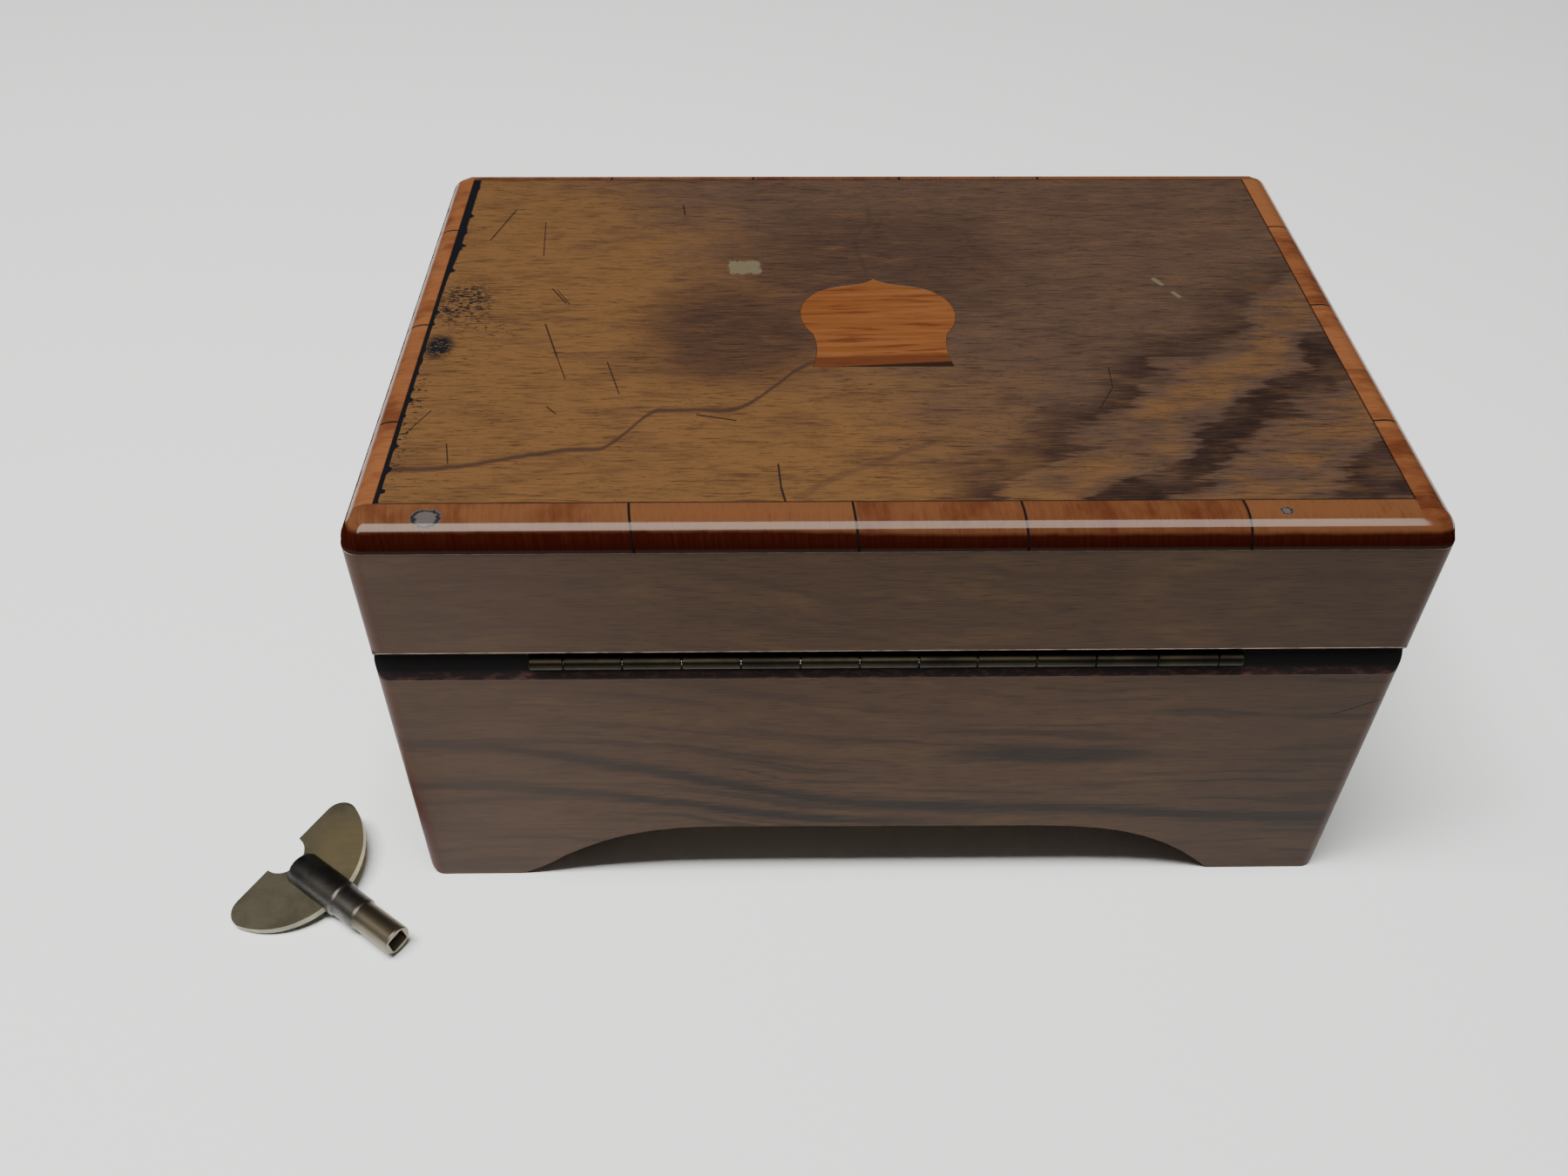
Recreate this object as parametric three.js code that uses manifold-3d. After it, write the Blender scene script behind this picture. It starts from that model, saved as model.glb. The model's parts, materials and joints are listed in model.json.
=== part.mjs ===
// A small key-wound cylinder music box: a veneered case with a hinged lid, its movement, and its key.
// Millimetres. X runs along the case, -Y is the opening side, +Y the hinge side, +Z is up.
// Everything but the key is drawn about the case's own centre, and the whole group is then shifted so that
// the origin is the middle of the footprint of case and key together, on the surface that they stand on.
import * as THREE from "three";
import { mergeVertices } from "three/addons/utils/BufferGeometryUtils.js";
import Module from "manifold-3d";

const wasm = await Module();
wasm.setup();

// Case
const caseCentre = { x: -18.4, y: -9.5 };
const caseLength = 172;
const caseWidth = 116;
const caseHeight = 88;
const bandProud = 0.1;
const bandWidth = { back: 6.1, front: 5.1, right: 5.2, left: 6.5 };
const bandBottomZ = 83;
const bandEdgeRadius = 4.7;
const wallLength = caseLength - 2 * bandProud;
const wallWidth = caseWidth - 2 * bandProud;
const wallThickness = 6.5;
const cornerRadius = 2.8;
const footCornerRadius = 3.4;
const squareCorner = 0.01;
const partingZ = 58;
const grooveDepth = 2.8;
const grooveHeight = 3.2;
const archTopZ = 14.4;
const boardBottomZ = 14.5;
const boardTopZ = 18.5;
const shieldY = 0.5;
const glassBottomZ = 50;
const glassThickness = 2;

// Piano hinge
const hingeY = 57;
const hingeLowX = -58.4;
const hingeHighX = 60;
const knuckleJoints = [-54.2, -44.1, -33.8, -23.9, -14.1, -4.4, 5.4, 15.2, 25, 34.8, 44.6, 54.3];
const knuckleRadius = 1.25;
const knuckleBore = 0.76;
const hingePinRadius = 0.6;
const leafThickness = 0.75;
const leafGap = 0.15;

// Movement
const bedTopZ = 21.5;
const bedLowX = -66;
const bedHighX = 66;
const bedLowY = -42;
const bedHighY = 46;
const cylinderY = 4;
const cylinderZ = 36.5;
const cylinderRadius = 11;
const cylinderLowX = -22;
const cylinderHighX = 40;
const barrelX = -46;
const barrelRadius = 17;
const barrelBottomZ = 22.4;
const barrelTopZ = 30.3;
const arborRadius = 2;
const arborHole = 2.15;
const crownMeanRadius = 16;
const crownTeeth = 40;
const crownRootZ = 31.3;
const crownTipZ = 33.3;
const bridgeBottomZ = 37;
const bridgeTopZ = 39.5;
const bridgePillarReach = 21.5;
const combTeeth = 40;
const combPitch = 1.5;
const combCentreX = 9;
const combSeatZ = 35.3;
const combTopZ = 37.9;
const gearModule = 0.5;
const wormModule = 0.7;
const wormPitchRadius = 2.2;
const wormWheelTeeth = 20;
const centreSlack = 0.1;
const flyReach = 6;

// Key, lying beside the case on its barrel and one wing tip
const keyBack = { x: 110.8, y: 57.9 };
const keyHeading = Math.atan2(0.602, -0.798);
const keyTilt = THREE.MathUtils.degToRad(10);
const keyBarrelRadius = 3.45;
const keyLength = 28.1;
const wingRadius = 15.5;
const wingThickness = 1.5;
const keySquare = 4;

const walnut = { color: 0x5a3a20, roughness: 0.4 };
const tulipwood = { color: 0x9a4a1c, roughness: 0.25 };
const whitewood = { color: 0xa08458, roughness: 0.7 };
const brass = { color: 0xb08d48, roughness: 0.35, metalness: 1 };
const darkBrass = { color: 0x6a5a38, roughness: 0.5, metalness: 1 };
const steel = { color: 0x9a9ca0, roughness: 0.3, metalness: 1 };
const blueSteel = { color: 0x38415a, roughness: 0.3, metalness: 1 };
const clearGlass = { color: 0xdfe8e6, roughness: 0.05, transparent: true, opacity: 0.3 };

const musicBox = new THREE.Group();
musicBox.position.set(caseCentre.x, caseCentre.y, 0);

// Shapes and solids

function solidOf(geometry) {
  const bare = geometry.clone();
  bare.deleteAttribute("normal");
  bare.deleteAttribute("uv");
  const merged = mergeVertices(bare, 1e-4);
  const mesh = new wasm.Mesh({
    numProp: 3,
    vertProperties: merged.attributes.position.array,
    triVerts: new Uint32Array(merged.index.array),
  });
  return new wasm.Manifold(mesh);
}

function geometryOf(solid) {
  const mesh = solid.getMesh();
  const geometry = new THREE.BufferGeometry();
  geometry.setAttribute("position", new THREE.BufferAttribute(new Float32Array(mesh.vertProperties), 3));
  geometry.setIndex(new THREE.BufferAttribute(new Uint32Array(mesh.triVerts), 1));
  geometry.computeVertexNormals();
  return geometry;
}

const join = (first, ...rest) => rest.reduce((whole, piece) => whole.add(piece), first);
const cut = (first, ...rest) => rest.reduce((whole, piece) => whole.subtract(piece), first);

function place(name, solid, finish, parent = musicBox) {
  const mesh = new THREE.Mesh(geometryOf(solid), new THREE.MeshStandardMaterial(finish));
  mesh.name = name;
  parent.add(mesh);
}

// The two drawing axes of a shape, then the way it is extruded. Along X a shape is drawn in Y and Z.
const frames = {
  x: [new THREE.Vector3(0, 1, 0), new THREE.Vector3(0, 0, 1), new THREE.Vector3(1, 0, 0)],
  y: [new THREE.Vector3(1, 0, 0), new THREE.Vector3(0, 0, 1), new THREE.Vector3(0, -1, 0)],
  z: [new THREE.Vector3(1, 0, 0), new THREE.Vector3(0, 1, 0), new THREE.Vector3(0, 0, 1)],
};

function extrude(shape, axis, low, high, curveSegments = 6) {
  const settings = { depth: high - low, bevelEnabled: false, curveSegments };
  const geometry = new THREE.ExtrudeGeometry(shape, settings);
  geometry.applyMatrix4(new THREE.Matrix4().makeBasis(...frames[axis]));
  if (axis === "x") geometry.translate(low, 0, 0);
  if (axis === "y") geometry.translate(0, high, 0);
  if (axis === "z") geometry.translate(0, 0, low);
  return solidOf(geometry);
}

function block([lowX, highX], [lowY, highY], [lowZ, highZ]) {
  const geometry = new THREE.BoxGeometry(highX - lowX, highY - lowY, highZ - lowZ);
  geometry.translate((lowX + highX) / 2, (lowY + highY) / 2, (lowZ + highZ) / 2);
  return solidOf(geometry);
}

const shapeOf = (points) => new THREE.Shape(points.map(([a, b]) => new THREE.Vector2(a, b)));

function circle(radius, sides, [centreA, centreB] = [0, 0]) {
  const corner = (i) => (2 * Math.PI * (i + 0.5)) / sides;
  return shapeOf(
    Array.from({ length: sides }, (_, i) => [
      centreA + radius * Math.cos(corner(i)),
      centreB + radius * Math.sin(corner(i)),
    ]),
  );
}

const rod = (axis, radius, low, high, centre, sides = 16) =>
  extrude(circle(radius, sides, centre), axis, low, high);

function roundedRectangle([lowA, highA], [lowB, highB], radius) {
  const shape = new THREE.Shape();
  shape.absarc(highA - radius, highB - radius, radius, 0, Math.PI / 2);
  shape.absarc(lowA + radius, highB - radius, radius, Math.PI / 2, Math.PI);
  shape.absarc(lowA + radius, lowB + radius, radius, Math.PI, 1.5 * Math.PI);
  shape.absarc(highA - radius, lowB + radius, radius, 1.5 * Math.PI, 2 * Math.PI);
  return shape;
}

const centred = (size) => [-size / 2, size / 2];

// Case

// A panel's outline: two feet, and an arch between them that eases into each foot. ease is how far the arch
// takes to rise, and outer is the radius of the panel's own lower corners.
function archedPanel(half, archLow, archHigh, ease, outer) {
  const shape = new THREE.Shape();
  shape.moveTo(-half, partingZ);
  shape.lineTo(-half, outer);
  shape.quadraticCurveTo(-half, 0, -half + outer, 0);
  shape.lineTo(archLow, 0);
  shape.quadraticCurveTo(archLow + 0.08 * ease, 2.8, archLow + 0.18 * ease, 5.7);
  shape.bezierCurveTo(
    archLow + 0.4 * ease,
    11.4,
    archLow + 0.6 * ease,
    archTopZ - 0.7,
    archLow + ease,
    archTopZ - 0.5,
  );
  shape.lineTo(archHigh - 1.1 * ease, archTopZ);
  shape.bezierCurveTo(
    archHigh - 0.7 * ease,
    archTopZ,
    archHigh - 0.5 * ease,
    10.8,
    archHigh - 0.28 * ease,
    5.8,
  );
  shape.quadraticCurveTo(archHigh - 0.12 * ease, 0.9, archHigh, 0);
  shape.lineTo(half - outer, 0);
  shape.quadraticCurveTo(half, 0, half, outer);
  shape.lineTo(half, partingZ);
  shape.closePath();
  return shape;
}

const wallEndX = wallLength / 2;
const wallFaceY = wallWidth / 2;
const innerX = wallEndX - wallThickness;
const innerY = wallFaceY - wallThickness;
const footprint = extrude(
  roundedRectangle(centred(wallLength), centred(wallWidth), cornerRadius),
  "z",
  -1,
  caseHeight + 1,
);
// The groove that the hinge lies in: a wedge along the back, with its tip inside the wall.
const hingeGroove = extrude(
  shapeOf([
    [wallFaceY - grooveDepth, partingZ],
    [wallFaceY + 0.1, partingZ - grooveHeight * (1 + 0.1 / grooveDepth)],
    [wallFaceY + 0.1, partingZ + grooveHeight * (1 + 0.1 / grooveDepth)],
  ]),
  "x",
  -wallEndX - 1,
  wallEndX + 1,
);
const leafBed = [innerY + 0.4, wallFaceY + 1];
const leafBedX = [hingeLowX - 0.3, hingeHighX + 0.3];
const leafBedDepth = leafThickness + leafGap + 0.1;

function placeBase() {
  const longPanel = archedPanel(wallEndX, -64.8, 69, 35, footCornerRadius);
  const endPanel = archedPanel(innerY, -38, 38, 30, squareCorner);
  const back = extrude(longPanel, "y", innerY, wallFaceY).intersect(footprint);
  const leafRecess = block(leafBedX, leafBed, [partingZ - leafBedDepth, partingZ + 1]);
  place("base_back_panel", cut(back, hingeGroove, leafRecess), walnut);
  const front = extrude(longPanel, "y", -wallFaceY, -innerY).intersect(footprint);
  place("base_front_panel", front, walnut);
  place("base_right_panel", extrude(endPanel, "x", innerX, wallEndX), walnut);
  place("base_left_panel", extrude(endPanel, "x", -wallEndX, -innerX), walnut);
}

const bedScrewSpots = [-59, 59].flatMap((x) => [-36, 40].map((y) => [x, y]));
const keyHoleRadius = 6;

function placeBottom() {
  const screwHoles = bedScrewSpots.map((spot) => rod("z", 1.5, boardBottomZ - 1, boardTopZ + 1, spot, 12));
  const keyHole = rod("z", keyHoleRadius, boardBottomZ - 1, boardTopZ + 1, [barrelX, cylinderY], 20);
  const board = block([-innerX, innerX], [-innerY, innerY], [boardBottomZ, boardTopZ]);
  place("bottom_board", cut(board, keyHole, ...screwHoles), whitewood);
  const restWidth = 3;
  const restHeight = 3;
  const restZ = [glassBottomZ - restHeight, glassBottomZ];
  place("glass_rest_right", block([innerX - restWidth, innerX], [-innerY, innerY], restZ), walnut);
  place("glass_rest_left", block([-innerX, -innerX + restWidth], [-innerY, innerY], restZ), walnut);
}

function placeGlass() {
  const glassX = [-innerX + 0.4, innerX - 0.4];
  const glassY = [-innerY + 1, innerY - 0.4];
  const pane = roundedRectangle(glassX, glassY, 1.5);
  place("inner_glass", extrude(pane, "z", glassBottomZ, glassBottomZ + glassThickness, 3), clearGlass);
}

// Lid

function placeLidCarcass() {
  const railZ = [partingZ, bandBottomZ];
  const inner = { x: [-innerX, innerX], y: [-innerY, innerY] };
  const wallX = centred(wallLength);
  const back = block(wallX, [innerY, wallFaceY], railZ).intersect(footprint);
  const leafRecess = block(leafBedX, leafBed, [partingZ - 1, partingZ + leafBedDepth]);
  place("lid_back_rail", cut(back, hingeGroove, leafRecess), walnut);
  place("lid_front_rail", block(wallX, [-wallFaceY, -innerY], railZ).intersect(footprint), walnut);
  place("lid_right_rail", block([innerX, wallEndX], inner.y, railZ), walnut);
  place("lid_left_rail", block([-wallEndX, -innerX], inner.y, railZ), walnut);
}

// An upright shield: a flat edge towards the hinge, a narrow waist, a full belly and a point to the front.
function shieldOutline() {
  const shape = new THREE.Shape();
  shape.moveTo(-12, 15);
  shape.quadraticCurveTo(-10.4, 9, -11.8, 4.6);
  shape.bezierCurveTo(-15.6, 0, -14.8, -5.6, -10.4, -9.2);
  shape.quadraticCurveTo(-8, -11, -4.6, -11.4);
  shape.quadraticCurveTo(-1.4, -11.9, 0.3, -13.9);
  shape.quadraticCurveTo(2, -11.9, 5.2, -11.4);
  shape.quadraticCurveTo(8.6, -11, 11, -9.2);
  shape.bezierCurveTo(15.4, -5.6, 16, 0, 12.2, 4.6);
  shape.quadraticCurveTo(11, 9, 12.4, 15);
  shape.closePath();
  return shape;
}

const fieldX = [-caseLength / 2 + bandWidth.left, caseLength / 2 - bandWidth.right];
const fieldY = [-caseWidth / 2 + bandWidth.front, caseWidth / 2 - bandWidth.back];

function placeLidTop() {
  const inlayDepth = 1;
  const board = block(fieldX, fieldY, [bandBottomZ, caseHeight]);
  const inlaid = (topZ) => {
    const solid = extrude(shieldOutline(), "z", caseHeight - inlayDepth, topZ, 4);
    return solid.translate([0, shieldY, 0]);
  };
  const shield = inlaid(caseHeight);
  const pocket = inlaid(caseHeight + 1);
  place("lid_top_board", cut(board, pocket), walnut);
  place("lid_inlay_shield", shield, tulipwood);
  placeBanding();
}

// A slab whose two upper edges are rounded, drawn as wide as one side of the case.
function roundedSlab(width) {
  const half = width / 2;
  const shape = new THREE.Shape();
  shape.moveTo(-half, bandBottomZ);
  shape.lineTo(half, bandBottomZ);
  shape.absarc(half - bandEdgeRadius, caseHeight - bandEdgeRadius, bandEdgeRadius, 0, Math.PI / 2);
  shape.absarc(-half + bandEdgeRadius, caseHeight - bandEdgeRadius, bandEdgeRadius, Math.PI / 2, Math.PI);
  shape.closePath();
  return shape;
}

// The four strips run round the lid's edge like a pinwheel: each runs through at one corner, then butts.
function placeBanding() {
  const half = { x: caseLength / 2, y: caseWidth / 2 };
  const alongX = extrude(roundedSlab(caseWidth), "x", -half.x, half.x, 5);
  const alongY = extrude(roundedSlab(caseLength), "y", -half.y, half.y, 5);
  const rounded = roundedRectangle(centred(caseLength), centred(caseWidth), cornerRadius + bandProud);
  const crown = alongX.intersect(alongY).intersect(extrude(rounded, "z", bandBottomZ, caseHeight));
  const z = [bandBottomZ, caseHeight];
  const strips = {
    lid_banding_back: [[fieldX[0], half.x], [fieldY[1], half.y]],
    lid_banding_left: [[-half.x, fieldX[0]], [fieldY[0], half.y]],
    lid_banding_front: [[-half.x, fieldX[1]], [-half.y, fieldY[0]]],
    lid_banding_right: [[fieldX[1], half.x], [-half.y, fieldY[1]]],
  };
  for (const [name, [x, y]] of Object.entries(strips)) {
    place(name, crown.intersect(block(x, y, z)), tulipwood);
  }
}

// Hinge

// One leaf: a flat strip with every second knuckle on it. side is -1 for the case's leaf, 1 for the lid's.
function hingeLeaf(side, firstKnuckle) {
  const ends = [hingeLowX, ...knuckleJoints, hingeHighX];
  const faces = [partingZ + side * leafGap, partingZ + side * (leafGap + leafThickness)];
  const z = [Math.min(...faces), Math.max(...faces)];
  const edgeY = hingeY - knuckleRadius - 0.2;
  let leaf = block([hingeLowX, hingeHighX], [innerY + 0.6, edgeY], z);
  for (let i = firstKnuckle; i < ends.length - 1; i += 2) {
    const x = [ends[i] + 0.1, ends[i + 1] - 0.1];
    const tab = block(x, [edgeY - 0.2, hingeY - 0.2], z);
    const barrel = rod("x", knuckleRadius, ...x, [hingeY, partingZ], 10);
    leaf = join(leaf, tab, barrel);
  }
  return cut(leaf, rod("x", knuckleBore, hingeLowX - 1, hingeHighX + 1, [hingeY, partingZ], 8));
}

function placeHinge() {
  place("hinge_leaf_base", hingeLeaf(-1, 0), darkBrass);
  place("hinge_leaf_lid", hingeLeaf(1, 1), darkBrass);
  const pin = rod("x", hingePinRadius, hingeLowX + 0.3, hingeHighX - 0.3, [hingeY, partingZ], 8);
  place("hinge_pin", pin, steel);
}

// Gears

// Straight-sided teeth round a centre. reach is how far a tooth stands above the pitch circle.
function gearOutline(teeth, pitchRadius, phase, centre, reach, sink) {
  const pitch = (2 * Math.PI) / teeth;
  const points = [];
  for (let i = 0; i < teeth; i++) {
    const middle = phase + i * pitch;
    for (const [radius, offset] of [
      [pitchRadius - sink, -0.27],
      [pitchRadius + reach, -0.11],
      [pitchRadius + reach, 0.11],
      [pitchRadius - sink, 0.27],
    ]) {
      const angle = middle + offset * pitch;
      points.push([centre[0] + radius * Math.cos(angle), centre[1] + radius * Math.sin(angle)]);
    }
  }
  return shapeOf(points);
}

const spur = (teeth, phase, centre, size = gearModule) =>
  gearOutline(teeth, (teeth * size) / 2, phase, centre, 0.9 * size, 1.2 * size);
const halfTooth = (teeth) => Math.PI / teeth;

// Movement: bedplate, spring barrel and winding work

const thirdDrop = THREE.MathUtils.degToRad(-30);
const cylinderWheelTeeth = 48;
const secondPinionTeeth = 12;
const secondWheelTeeth = 36;
const thirdPinionTeeth = 12;
const meshDistance = (a, b) => ((a + b) * gearModule) / 2 + centreSlack;
const cylinderAxis = [cylinderY, cylinderZ];
const secondAxis = [cylinderY + meshDistance(cylinderWheelTeeth, secondPinionTeeth), cylinderZ];
const thirdReach = meshDistance(secondWheelTeeth, thirdPinionTeeth);
const thirdAxis = [
  secondAxis[0] + thirdReach * Math.cos(thirdDrop),
  secondAxis[1] + thirdReach * Math.sin(thirdDrop),
];
const wormWheelX = 53.6;
const wormY = thirdAxis[0] + (wormWheelTeeth * wormModule) / 2 + wormPitchRadius + centreSlack;
const wormSpot = [wormWheelX, wormY];
const barrelSpot = [barrelX, cylinderY];

function placeBedplate() {
  const outline = roundedRectangle([bedLowX, bedHighX], [bedLowY, bedHighY], 4);
  const plate = extrude(outline, "z", boardTopZ, bedTopZ, 3);
  const screwHoles = bedScrewSpots.map((spot) => rod("z", 1.5, boardTopZ - 1, bedTopZ + 1, spot, 12));
  const arborBearing = rod("z", arborHole, boardTopZ - 1, bedTopZ + 1, barrelSpot);
  const wormBearing = rod("z", 1, boardTopZ - 1, bedTopZ + 1, wormSpot, 12);
  place("bedplate", cut(plate, arborBearing, wormBearing, ...screwHoles), brass);
  bedScrewSpots.forEach((spot, i) => {
    place(`bedplate_screw_${i + 1}`, screw(spot, boardBottomZ, -1, 2.7, 1.2, 6.5), steel);
  });
}

// A slotted screw along Z: its head stands on seatZ and faces up (facing 1) or down (facing -1).
function screw(spot, seatZ, facing, headRadius, shankRadius, shankLength) {
  const headHeight = 1.3;
  const order = (a, b) => [Math.min(a, b), Math.max(a, b)];
  const head = rod("z", headRadius, ...order(seatZ, seatZ + facing * headHeight), spot, 16);
  const shankZ = order(seatZ + facing * 0.2, seatZ - facing * shankLength);
  const shank = rod("z", shankRadius, ...shankZ, spot, 12);
  const slotZ = order(seatZ + facing * 0.7, seatZ + facing * (headHeight + 1));
  const slot = block([spot[0] - 4, spot[0] + 4], [spot[1] - 0.3, spot[1] + 0.3], slotZ);
  return cut(join(head, shank), slot);
}

function placeBarrel() {
  const wallInner = barrelRadius - 1;
  const coverTopZ = barrelBottomZ + 1;
  const outer = rod("z", barrelRadius, coverTopZ, barrelTopZ, barrelSpot, 36);
  const inside = rod("z", wallInner, coverTopZ - 1, barrelTopZ - 1, barrelSpot, 36);
  const arborWay = rod("z", arborHole, 0, caseHeight, barrelSpot);
  place("barrel_drum", cut(outer, inside, arborWay), brass);
  const cover = rod("z", barrelRadius, barrelBottomZ, coverTopZ, barrelSpot, 36);
  place("barrel_cover", cut(cover, arborWay), brass);
  const coils = rod("z", wallInner - 0.3, coverTopZ + 0.4, barrelTopZ - 1.3, barrelSpot, 24);
  const core = rod("z", 5.6, 0, caseHeight, barrelSpot, 24);
  place("mainspring", cut(coils, core), blueSteel);
  place("crown_wheel", crownWheel(), brass);
}

// A ring with upright teeth. It turns about Z and drives the cylinder's pinion, which lies across it.
function crownWheel() {
  const [lowR, highR] = [crownMeanRadius - 1.4, crownMeanRadius + 1.4];
  const ringInside = rod("z", 12.5, barrelTopZ - 1, crownTipZ, barrelSpot, 36);
  let wheel = cut(rod("z", highR, barrelTopZ, crownRootZ, barrelSpot, 40), ringInside);
  const pitch = (2 * Math.PI) / crownTeeth;
  const arc = pitch * crownMeanRadius;
  const tooth = shapeOf([
    [-0.26 * arc, crownRootZ - 0.3],
    [0.26 * arc, crownRootZ - 0.3],
    [0.11 * arc, crownTipZ],
    [-0.11 * arc, crownTipZ],
  ]);
  for (let i = 0; i < crownTeeth; i++) {
    const angle = THREE.MathUtils.radToDeg((i + 0.5) * pitch);
    const upright = extrude(tooth, "x", lowR, highR - 0.15);
    wheel = wheel.add(upright.rotate([0, 0, angle]).translate([...barrelSpot, 0]));
  }
  return wheel;
}

const ratchetZ = [39.9, 41.7];
const ratchetTeeth = 20;
const ratchetRadius = 8;
const ratchetRootRadius = 6.8;
const clickPivot = [barrelX + 4.5, cylinderY + 11.5];
const clickTip = [barrelX - 2.15, cylinderY + 8.05];

function placeBridge() {
  const halfWidth = 6;
  const reach = bridgePillarReach + 4;
  const x = [barrelX - halfWidth, barrelX + halfWidth];
  const y = [cylinderY - reach, cylinderY + reach];
  const bar = extrude(roundedRectangle(x, y, 4), "z", bridgeBottomZ, bridgeTopZ, 3);
  const bearing = rod("z", arborHole, 0, caseHeight, barrelSpot);
  const clickHole = rod("z", 1.15, 0, caseHeight, clickPivot, 12);
  place("spring_bridge", cut(bar, bearing, clickHole), brass);
  const sides = { front: -bridgePillarReach, back: bridgePillarReach };
  for (const [side, offset] of Object.entries(sides)) {
    const spot = [barrelX, cylinderY + offset];
    place(`bridge_pillar_${side}`, rod("z", 3, bedTopZ, bridgeBottomZ, spot), brass);
  }
}

function placeWindingWork() {
  const square = block(
    [barrelX - 1.7, barrelX + 1.7],
    [cylinderY - 1.7, cylinderY + 1.7],
    [7, boardBottomZ],
  );
  const shaft = rod("z", arborRadius, boardBottomZ - 1, 43, barrelSpot);
  const hub = rod("z", 4.6, 24.2, 28.8, barrelSpot);
  place("winding_arbor", join(square, shaft, hub), steel);
  const points = [];
  for (let i = 0; i < ratchetTeeth; i++) {
    const angle = THREE.MathUtils.degToRad(105.5 + (360 / ratchetTeeth) * i);
    for (const radius of [ratchetRootRadius, ratchetRadius]) {
      points.push([barrelX + radius * Math.cos(angle), cylinderY + radius * Math.sin(angle)]);
    }
  }
  const wheel = extrude(shapeOf(points), "z", ...ratchetZ);
  place("ratchet_wheel", cut(wheel, rod("z", arborRadius + 0.1, 0, caseHeight, barrelSpot)), steel);
  placeClick();
}

function placeClick() {
  const [px, py] = clickPivot;
  const [tx, ty] = clickTip;
  const beak = shapeOf([
    [tx, ty],
    [tx + 1.6, ty + 0.2],
    [px - 0.6, py - 2],
    [px + 0.4, py + 2],
    [px - 1.5, py + 1.9],
    [tx - 0.1, ty + 0.9],
  ]);
  const body = join(extrude(beak, "z", ...ratchetZ), rod("z", 2.1, ...ratchetZ, clickPivot));
  place("click", cut(body, rod("z", 1.15, 0, caseHeight, clickPivot, 12)), steel);
  place("click_screw", screw(clickPivot, ratchetZ[1] + 0.2, 1, 1.8, 0.95, 4.6), blueSteel);
}

// Movement: cylinder and comb

function placeCylinder() {
  const sleeve = rod("x", cylinderRadius, cylinderLowX, cylinderHighX, cylinderAxis, 36);
  const hollow = rod("x", cylinderRadius - 1, cylinderLowX + 1.5, cylinderHighX + 1, cylinderAxis, 36);
  const arborWay = rod("x", 1.9, cylinderLowX - 1, cylinderHighX + 1, cylinderAxis);
  place("cylinder_sleeve", cut(sleeve, hollow, arborWay), brass);
  const cap = rod("x", cylinderRadius - 1.15, cylinderHighX - 1.5, cylinderHighX, cylinderAxis, 36);
  place("cylinder_cap", cut(cap, arborWay), brass);
  const pinionTeeth = 10;
  const pinion = gearOutline(pinionTeeth, 4, -Math.PI / 2, cylinderAxis, 0.75, 1.05);
  const pinionX = barrelX + crownMeanRadius;
  const arbor = join(
    rod("x", 1.75, pinionX, 49.5, cylinderAxis),
    extrude(pinion, "x", pinionX - 1.2, pinionX + 1.2),
  );
  place("cylinder_arbor", arbor, steel);
  const phase = halfTooth(cylinderWheelTeeth);
  const wheel = extrude(spur(cylinderWheelTeeth, phase, cylinderAxis), "x", 41, 42.6);
  place("cylinder_wheel", cut(wheel, rod("x", 1.85, 30, 60, cylinderAxis)), brass);
  const post = extrude(bearingOutline(6, 41), "x", -27.2, -24.4);
  place("cylinder_bearing", cut(post, rod("x", 1.9, -40, 0, cylinderAxis)), brass);
}

// A plate standing on the bedplate with a rounded head over the cylinder's axis.
function bearingOutline(halfWidth, topZ) {
  const shape = new THREE.Shape();
  shape.moveTo(cylinderY - halfWidth, bedTopZ);
  shape.lineTo(cylinderY + halfWidth, bedTopZ);
  shape.lineTo(cylinderY + 3.4, 33);
  shape.absarc(cylinderY, topZ - 3.4, 3.4, 0, Math.PI);
  shape.lineTo(cylinderY - 3.4, 33);
  shape.closePath();
  return shape;
}

function placeComb() {
  const lowX = combCentreX - (combTeeth * combPitch) / 2;
  const highX = combCentreX + (combTeeth * combPitch) / 2;
  const rootY = -26.5;
  const tipY = cylinderY - cylinderRadius - 1.3;
  const gapWidth = 0.42;
  const points = [[lowX, rootY - 6], [highX, rootY - 6]];
  for (let i = combTeeth - 1; i >= 0; i--) {
    const left = lowX + i * combPitch;
    points.push([left + combPitch - gapWidth / 2, rootY], [left + combPitch - gapWidth / 2, tipY]);
    points.push([left + gapWidth / 2, tipY], [left + gapWidth / 2, rootY]);
  }
  const teeth = extrude(shapeOf(points), "z", cylinderZ - 0.6, cylinderZ + 0.6);
  const body = block([lowX, highX], [-38, rootY], [combSeatZ, combTopZ]);
  const spots = [-24, 0, 24].map((offset) => [combCentreX + offset, -33]);
  const holes = spots.map((spot) => rod("z", 1.7, 28, 40, spot, 12));
  place("comb", cut(join(body, teeth), ...holes), steel);
  const base = block([lowX - 1, highX + 1], [-38, -28], [bedTopZ, combSeatZ]);
  place("comb_base", cut(base, ...holes), brass);
  spots.forEach((spot, i) => {
    place(`comb_screw_${i + 1}`, screw(spot, combTopZ, 1, 2.8, 1.4, 8), blueSteel);
  });
}

// Movement: governor

function placeSecondWheel() {
  const pinion = extrude(spur(secondPinionTeeth, Math.PI, secondAxis), "x", 40.8, 42.8);
  const arbor = rod("x", 1, 40.8, 52, secondAxis, 12);
  const wheelPhase = thirdDrop + halfTooth(secondWheelTeeth);
  const wheel = extrude(spur(secondWheelTeeth, wheelPhase, secondAxis), "x", 50, 51.2);
  place("second_wheel", join(pinion, arbor, wheel), brass);
}

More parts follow.
